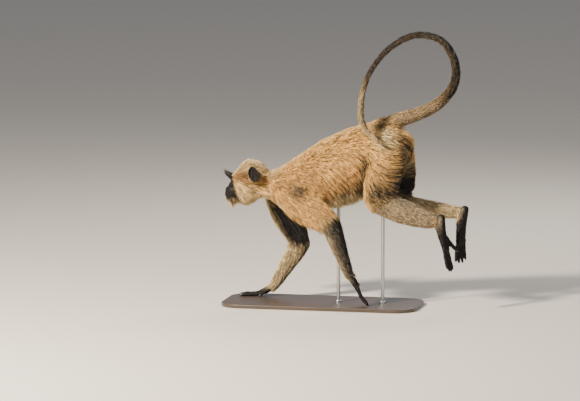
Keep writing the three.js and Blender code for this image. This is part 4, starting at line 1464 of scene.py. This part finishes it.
def coat_piece(name, chosen, number, rings, unevenness):
    """One piece of the coat: a number of locks over some of the guide's triangles. The
    unevenness is how much less or more of the dark marks and painted shade single locks have."""
    weight = fur[triangles].mean(1) / (length * width)[triangles].mean(1)
    faces, mixture = scattered(chosen, weight, number)
    spacing = (CLUMP_SPACING + SHAGGY_SPACING * shag[triangles].mean(1)) * MM
    clumps = int((areas / spacing**2)[chosen].sum()) + 8
    heads, head_mixture = scattered(chosen, spacing**-2, clumps)
    roots = blended(g_points, faces, mixture)
    ways = unit(blended(flow, faces, mixture))
    mine = clump_of(roots, blended(g_points, heads, head_mixture), ways)

    # Each lock follows its own trail, and is drawn towards its clump's trail at the tip.
    t = np.linspace(0, 1, rings + 1) ** 0.9
    own = np.stack([blended(trail[s], faces, mixture) for s in range(STEPS + 1)], 1)
    own_up = unit(np.stack([blended(trail_up[s], faces, mixture) for s in range(STEPS + 1)], 1))
    led = np.stack([blended(trail[s], heads, head_mixture) for s in range(STEPS + 1)], 1)[mine]
    when = t[None, :] * dice.uniform(*LOCK_REACH, number)[:, None]
    spine, leader, ups = on_trail(own, when), on_trail(led, when), unit(on_trail(own_up, when))
    loose = blended(shag, faces, mixture)
    gather = (0.35 + 0.5 * loose)[:, None, None] * (t**1.3)[None, :, None]
    ahead, aside = unit(np.gradient(spine, axis=1)), leader - spine
    aside -= 0.85 * ahead * np.sum(aside * ahead, axis=2)[..., None]
    spine = spine + aside * gather

    # It rises through the coat to its own layer, leans out of line, and hangs.
    deep = blended(depth, faces, mixture) * MM
    layer = dice.uniform(0.15, 1.0, number) ** 0.7
    lift = (deep * layer)[:, None] * (1 - (1 - t) ** 1.8)[None, :] - ROOT_SUNK * (1 - t)[None, :] ** 2
    spine = spine + ups * lift[..., None]
    long = blended(length, faces, mixture) * MM
    sway = dice.normal(0, 1, (number, 3))
    sway = (sway - ups[:, 0] * np.sum(sway * ups[:, 0], 1)[:, None] * 0.7) * STRAY
    sway += (dice.normal(0, 1, (clumps, 3)) * CLUMP_STRAY)[mine]
    sway[:, 2] -= blended(hang, faces, mixture) * 0.7
    spine = spine + sway[:, None, :] * (t**1.6)[None, :, None] * long[:, None, None]
    wide = blended(width, faces, mixture) * MM * dice.uniform(*LOCK_WIDTH, number)

    # Clumps differ in tone more than locks do, and the top layer is painted brightest, the deeper ones
    # darker as painted shade.
    clump_tone = dice.normal(0, 1, clumps)[mine] * (0.18 + 0.24 * loose)
    tones = np.clip(0.5 + clump_tone + dice.normal(0, 0.12, number) + 0.22 * (layer - 0.7), 0, 1)
    marks = blended(markings, faces, mixture)
    uneven = np.clip(marks[:, 2] * dice.uniform(*unevenness, number), 0, 1)
    marks[:, 2] = np.where(marks[:, 2] > 0.985, 1, uneven)  # what is fully black stays so
    return dressed(name, chosen, faces, mixture, spine, ups, t, wide, tones, marks)


def where_part(*parts, side=None):
    """The guide's triangles in these parts, on one side or both, where hair grows."""
    found = np.isin(part_of_face, parts) & (fur[triangles].mean(1) > 0.02)
    if side:
        found &= side_of_face == side
    return np.flatnonzero(found)


COATS = {  # parts, side, number of locks, their rings, slot
    "coat_neck": (("neck",), None, 5600, 3, "coat_gold"),
    "coat_chest": (("chest",), None, 8800, 3, "coat_gold"),
    "coat_belly": (("belly",), None, 9400, 3, "coat_gold"),
    "coat_rump": (("rump",), None, 8000, 3, "coat_gold"),
    "coat_tail": (("tail",), None, 9000, 2, "coat_grey"),
}
for side_name in SIDES:
    COATS[f"coat_{side_name}_head"] = (("head", "ear"), side_name, 7800, 3, "coat_pale")
    COATS[f"coat_{side_name}_upper_arm"] = (("upper_arm",), side_name, 4500, 3, "coat_gold")
    COATS[f"coat_{side_name}_forearm"] = (("forearm", "hand"), side_name, 6800, 2, "coat_grey")
    COATS[f"coat_{side_name}_thigh"] = (("thigh",), side_name, 6600, 3, "coat_gold")
    COATS[f"coat_{side_name}_shank"] = (("shank", "foot"), side_name, 7000, 2, "coat_grey")
for name, (parts, side_name, number, rings, slot) in COATS.items():
    unevenness = (0.85, 1.1) if name == "coat_tail" else (0.5, 1.3)
    piece = coat_piece(name, where_part(*parts, side=side_name), number, rings, unevenness)


# ---------------------------------------------------------------- the visor
# Long black hairs that stand up and forwards over the eyes from the brow ridge. They are
# stiff hair with free tips, which a museum sets in one by one.

root_head = to_head(g_points[triangles].mean(1))
on_brow = (np.abs(root_head[:, 1]) < 31) & (root_head[:, 2] > 7) & (root_head[:, 2] < 15)
on_brow &= (root_head[:, 0] < -84) & (g_normals[triangles[:, 0]] @ HEAD_TURN @ (-0.6, 0, 0.8) > 0.1)
chosen = np.flatnonzero(on_brow)
VISOR_HAIRS = 760
faces, mixture = scattered(chosen, np.ones(len(areas)), VISOR_HAIRS)
roots = blended(g_points, faces, mixture)
sideways = to_head(roots)[:, 1]
t = np.linspace(0, 1, 5)
# The hairs are longest over the nose, and short at the temples.
reach = 6 + 32 * np.clip(1 - (sideways / 33)**2, 0, 1) ** 0.7
reach = dice.uniform(0.4, 1.12, VISOR_HAIRS) * reach * MM
ways = np.stack([np.full(VISOR_HAIRS, -0.62), sideways * 0.006, np.full(VISOR_HAIRS, 0.78)], 1)
ways = unit(ways + dice.normal(0, 1, (VISOR_HAIRS, 3)) * (0.03, 0.12, 0.03)) @ HEAD_TURN.T
bow = np.array((-0.1, 0, -0.12)) @ HEAD_TURN.T
spine = (ways[:, None] * t[None, :, None] + bow * (t**2)[None, :, None]) * reach[:, None, None]
spine += roots[:, None]
spine[:, 0] -= ways * 0.001  # the roots are sunk into the skin
ups = np.repeat(unit(np.cross(ways, np.array((0, 1, 0)) @ HEAD_TURN.T))[:, None] * -1, 5, 1)
visor = dressed("visor", chosen, faces, mixture, spine, ups, t, dice.uniform(0.6, 1.1, VISOR_HAIRS) * MM,
                dice.uniform(0.2, 0.8, VISOR_HAIRS), np.tile((0.0, 1.0, 1.0), (VISOR_HAIRS, 1)))
bpy.data.objects.remove(guide)


# ---------------------------------------------------------------- eyes
# A wet brown ball with a dark pupil behind a clear bulge. A museum uses painted glass,
# set behind the lids before the face is finished.

eye_finish, tree, shader = new_material("eye", Roughness=0.2, Coat_Weight=0.5, Coat_Roughness=0.02)
shader.inputs["Specular IOR Level"].default_value = 0.1
gaze = node(tree, "Attribute", {"attribute_name": "gaze"}, out=2)
place = node(tree, "TexCoord", out=3)
spokes = noise(tree, place, 900.0, 3.0)
ring = node(tree, "ValToRGB", {"stops": [
    (0.0, (0.004, 0.003, 0.003)), (0.2, (0.004, 0.003, 0.003)), (0.24, (0.10, 0.042, 0.012)),
    (0.46, (0.16, 0.075, 0.02)), (0.58, (0.03, 0.014, 0.006)), (0.66, (0.035, 0.022, 0.016)),
    (1.0, (0.05, 0.035, 0.028)),
]}, {0: gaze + spokes * 0.05 - 0.025})
tree.links.new(ring.out, shader.inputs["Base Color"])
CORNEA, CORNEA_EDGE = 0.9, 42  # how far the clear bulge stands out in mm, and its edge in degrees
for name, side in SIDES.items():
    centre, ahead, outwards, raised = eye_frame(side)
    bpy.ops.mesh.primitive_uv_sphere_add(segments=48, ring_count=32, radius=1)
    eye = bpy.context.object
    eye.name = eye.data.name = f"{name}_eye_ball"
    ball_points = points_of(eye.data)
    angle = np.degrees(np.arccos(np.clip(ball_points[:, 2], -1, 1)))
    reach = EYE_RADIUS + CORNEA * np.clip(1 - (angle / CORNEA_EDGE) ** 2, 0, 1)
    turn = np.stack([outwards, raised * -side, ahead], 1)
    set_points(eye.data, in_head(centre + (ball_points * reach[:, None]) @ turn.T))
    store(eye.data, "gaze", angle / 90)
    eye.data.materials.append(eye_finish)
    eye.data.shade_smooth()
    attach(eye, "root")
    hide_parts(f"{name}_eye")


# ---------------------------------------------------------------- nails
# Narrow dark nails, curved across and over the tip. They are horn, grown from the digit,
# and a museum casts them with it and paints them.

nail_finish, tree, shader = new_material("nail", Roughness=0.32)
place = node(tree, "TexCoord", out=3)
grain = noise(tree, place, 260.0, 3.0)
horn = mix(tree, grain, colour(0.018, 0.015, 0.013), colour(0.07, 0.058, 0.05))
tree.links.new(horn.out, shader.inputs["Base Color"])


NAIL_THICK = 0.0007


def nail(name, tip, pointing, back, radius):
    """A curved plate that lies on the last bone and reaches a little past the tip."""
    sideways = np.cross(pointing, back)
    rows, columns = 9, 9
    along_nail, around = np.linspace(0, 1, rows), np.linspace(-1, 1, columns)
    nail_long, half = radius * 2.3, radius * 0.72
    layers = []
    for lift in (0.0, NAIL_THICK):
        for a in along_nail:
            narrow = half * (0.78 + 0.3 * math.sin(a * 2.4)) * (1 - 0.25 * max(0, a - 0.7) / 0.3)
            for s in around:
                drop = radius * (0.95 - 0.5 * abs(s) ** 2 - 0.75 * a**2.4)
                round_end = nail_long * (a - 0.62) - radius * 0.25 * s * s * a
                layers.append(tip + pointing * round_end + sideways * (s * narrow)
                              + back * (drop * 0.86 + lift * (1 - 0.6 * s * s)))
    layer = rows * columns
    faces = []
    for r in range(rows - 1):
        for c in range(columns - 1):
            a = r * columns + c
            faces.append((a, a + 1, a + columns + 1, a + columns))
            faces.append(tuple(i + layer for i in (a, a + columns, a + columns + 1, a + 1)))
    rim = [*range(columns)] + [r * columns + columns - 1 for r in range(1, rows)]
    rim += [(rows - 1) * columns + c for c in range(columns - 2, -1, -1)]
    rim += [r * columns for r in range(rows - 2, 0, -1)]
    for a, b in zip(rim, rim[1:] + rim[:1]):
        faces.append((b, a, a + layer, b + layer))
    made = object_from(name, np.array(layers), faces)
    made.data.shade_smooth()
    made.data.materials.append(nail_finish)
    return made


for name in [*HANDS, *FEET]:
    set_of_nails = [nail(f"{digit_name}_nail", *where) for digit_name, where in nail_places.items()
                    if digit_name.startswith(name)]
    nails = join(set_of_nails, f"{name}_nails")
    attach(nails, "root")


# ---------------------------------------------------------------- the stand
# A stained board with a softened edge, and two brushed steel rods that go up through the
# coat into the belly and the rump. Each rod stands in a turned collar on the board.

board_finish, tree, shader = new_material(
    "stained board", Roughness=0.42, Coat_Weight=0.25, Coat_Roughness=0.25
)
place = node(tree, "TexCoord", out=3)
stretched = node(tree, "VectorMath", {"operation": "MULTIPLY"}, {0: place, 1: (1.2, 16.0, 16.0)})
warp = noise(tree, stretched, 4.0, 6.0, Roughness=0.62)
pore = noise(tree, stretched, 36.0, 3.0)
stain = node(tree, "ValToRGB", {"stops": [
    (0.3, (0.028, 0.019, 0.014)), (0.5, (0.07, 0.046, 0.032)), (0.7, (0.042, 0.028, 0.02)),
]}, {0: warp * 0.8 + pore * 0.2})
tree.links.new(stain.out, shader.inputs["Base Color"])
relief = node(tree, "Bump", None, {"Strength": 0.25, "Distance": 0.0005, "Height": pore})
tree.links.new(relief.out, shader.inputs["Normal"])

rod_finish, tree, shader = new_material("brushed steel", Metallic=1.0, Roughness=0.3)
place = node(tree, "TexCoord", out=3)
stretched = node(tree, "VectorMath", {"operation": "MULTIPLY"}, {0: place, 1: (60.0, 60.0, 2.0)})
brushed = noise(tree, stretched, 30.0, 2.0)
steel = mix(tree, brushed, colour(0.42, 0.425, 0.43), colour(0.6, 0.605, 0.61))
tree.links.new(steel.out, shader.inputs["Base Color"])
tree.links.new((0.26 + brushed * 0.14).out, shader.inputs["Roughness"])

BOARD_CORNER, BOARD_EDGE = 0.070, 0.0022


def finish_piece(piece, finish, slot, *replaced):
    """Gives a piece its material and its body, and hides the solids that it stands for. The slot is not
    used.
    """
    piece.data.materials.clear()
    piece.data.materials.append(finish)
    select_only(piece)
    bpy.ops.object.transform_apply(location=True, rotation=True, scale=True)
    bpy.ops.object.shade_smooth_by_angle(angle=math.radians(35))
    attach(piece, "root")
    if replaced:
        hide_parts(*replaced)


def bevel_edges(piece, chosen, width, segments):
    """Bevels the edges of a piece that chosen picks by their two ends."""
    select_only(piece)
    bpy.ops.object.mode_set(mode="EDIT")
    bpy.ops.mesh.select_mode(type="EDGE")
    bpy.ops.mesh.select_all(action="DESELECT")
    bpy.ops.object.mode_set(mode="OBJECT")
    for edge in piece.data.edges:
        edge.select = bool(chosen(*[piece.data.vertices[v].co for v in edge.vertices]))
    bpy.ops.object.mode_set(mode="EDIT")
    bpy.ops.mesh.bevel(offset=width, segments=segments, affect="EDGES")
    bpy.ops.object.mode_set(mode="OBJECT")


def box_of(piece):
    points = points_of(piece.data)
    return points.min(0), points.max(0)


low, high = box_of(nodes["stand_base"])
deselect()
bpy.ops.mesh.primitive_cube_add(size=1, location=(low + high) / 2, scale=high - low)
board = bpy.context.object
board.name = board.data.name = "board"
bpy.ops.object.transform_apply(location=True, rotation=True, scale=True)
bevel_edges(board, lambda a, b: abs(a.z - b.z) > 0.005, BOARD_CORNER, 10)
bevel_edges(board, lambda a, b: abs(a.z - b.z) < 1e-5, BOARD_EDGE, 4)
finish_piece(board, board_finish, "stand_board", "stand_base")
board_top = high[2]

COLLAR_RADIUS, COLLAR_TALL, COLLAR_EDGE = 0.011, 0.007, 0.0022
for rod_name in ("front", "rear"):
    low, high = box_of(nodes[f"stand_rod_{rod_name}"])
    middle, tall = (low + high) / 2, high[2] - low[2]
    deselect()
    radius = (high[0] - low[0]) / 2
    bpy.ops.mesh.primitive_cylinder_add(vertices=40, radius=radius, depth=tall, location=middle)
    rod = bpy.context.object
    rod.name = rod.data.name = f"{rod_name}_rod"
    finish_piece(rod, rod_finish, "stand_rod", f"stand_rod_{rod_name}")
    deselect()
    bpy.ops.mesh.primitive_cylinder_add(vertices=48, radius=COLLAR_RADIUS, depth=COLLAR_TALL,
                                        location=(middle[0], middle[1], board_top + COLLAR_TALL / 2))
    collar = bpy.context.object
    collar.name = collar.data.name = f"{rod_name}_collar"
    bpy.ops.object.transform_apply(location=True, rotation=True, scale=True)
    bevel_edges(collar, lambda a, b: min(a.z, b.z) > board_top + COLLAR_TALL * 0.9, COLLAR_EDGE, 4)
    finish_piece(collar, rod_finish, "stand_rod")
